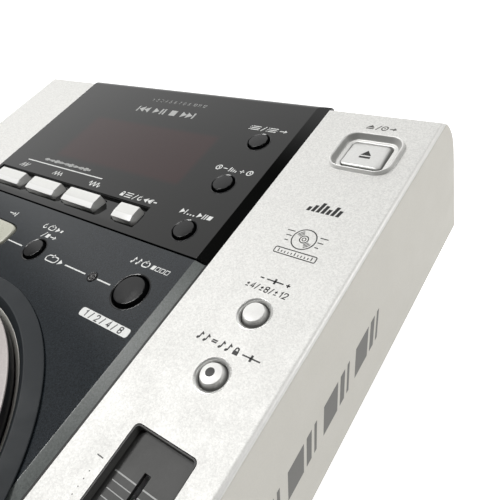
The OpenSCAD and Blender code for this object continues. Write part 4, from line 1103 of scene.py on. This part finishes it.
# ---------------------------------------------------------------- stage and light
def stage_floor():
    me = bpy.data.meshes.new("floor")
    s = 6.0
    me.from_pydata([(-s, -s, 0), (s, -s, 0), (s, s, 0), (-s, s, 0)], [], [(0, 1, 2, 3)])
    o = bpy.data.objects.new("floor", me)
    bpy.context.scene.collection.objects.link(o)
    t = NT("floor_pale")
    col = t.mix(t.remap(t.noise(180, 3.0), 0.3, 0.7, 0, 1), (0.45, 0.45, 0.447), (0.48, 0.48, 0.477))
    t.put(col, 0.75)
    t.b.inputs["Emission Color"].default_value = (1, 1, 1, 1)
    t.b.inputs["Emission Strength"].default_value = 1.0
    me.materials.append(t.m)


stage_floor()


def area(name, loc, target, size, power, color=(1, 1, 1)):
    d = bpy.data.lights.new(name, "AREA")
    d.shape = "RECTANGLE"
    d.size, d.size_y = size
    d.energy = power
    d.color = color
    o = bpy.data.objects.new(name, d)
    bpy.context.scene.collection.objects.link(o)
    o.location = loc
    o.rotation_euler = (Vector(target) - Vector(loc)).to_track_quat("-Z", "Y").to_euler()
    return o


area("softbox_left", (-0.775, 0.005, 1.483), (0.03, 0.03, 0.1), (0.76, 0.34), 17.0, (1.0, 0.998, 0.985))
area("softbox_top", (-0.25, 0.336, 1.52), (0.03, 0.03, 0.1), (0.34, 0.34), 3.5, (1.0, 0.998, 0.985))
area("softbox_right", (1.08, 0.68, 0.87), (0.08, 0.03, 0.1), (0.62, 0.62), 4.5, (1.0, 0.995, 0.98))


def studio_world():
    """white surroundings low on the left and rear, dark overhead and behind the camera"""
    w = bpy.data.worlds.new("studio")
    bpy.context.scene.world = w
    w.use_nodes = True
    t = w.node_tree
    t.nodes.clear()

    def link(a, b):
        t.links.new(a, b)

    def m(op, a, b=0.0):
        x = t.nodes.new("ShaderNodeMath")
        x.operation = op
        for i, v in enumerate((a, b)):
            if isinstance(v, (int, float)):
                x.inputs[i].default_value = v
            else:
                link(v, x.inputs[i])
        return x.outputs[0]

    def step(v, a, b, c=0.0, d=1.0):
        x = t.nodes.new("ShaderNodeMapRange")
        x.interpolation_type = "SMOOTHSTEP"
        for name, q in (("From Min", a), ("From Max", b), ("To Min", c), ("To Max", d)):
            x.inputs[name].default_value = q
        link(v, x.inputs["Value"])
        return x.outputs[0]

    co = t.nodes.new("ShaderNodeTexCoord")
    sp = t.nodes.new("ShaderNodeSeparateXYZ")
    link(co.outputs["Generated"], sp.inputs[0])
    x, y, z = sp.outputs
    r = m("MAXIMUM", m("SQRT", m("ADD", m("MULTIPLY", x, x), m("MULTIPLY", y, y))), 0.001)
    sn, cs = m("DIVIDE", y, r), m("DIVIDE", x, r)
    rear_left = m("MULTIPLY", step(sn, 0.17, 0.33), step(cs, 0.1, 0.6, 1.0, 0.0))
    low = step(z, 0.68, 0.80, 1.0, 0.0)
    side = m("MAXIMUM", step(cs, -0.1, 0.8, 0.04, 0.06), step(cs, -0.8, -0.2, 0.30, 0.0))
    v = m("ADD", m("MULTIPLY", side, m("SUBTRACT", 1.0, rear_left)), rear_left)
    v = m("ADD", m("MULTIPLY", v, low), m("MULTIPLY", m("SUBTRACT", 1.0, low), 0.02))
    bg = t.nodes.new("ShaderNodeBackground")
    bg.inputs[0].default_value = (1.0, 1.0, 0.995, 1.0)
    link(v, bg.inputs[1])
    out = t.nodes.new("ShaderNodeOutputWorld")
    link(bg.outputs[0], out.inputs[0])


studio_world()

bpy.context.scene.view_settings.view_transform = "Standard"
bpy.context.scene.view_settings.look = "None"
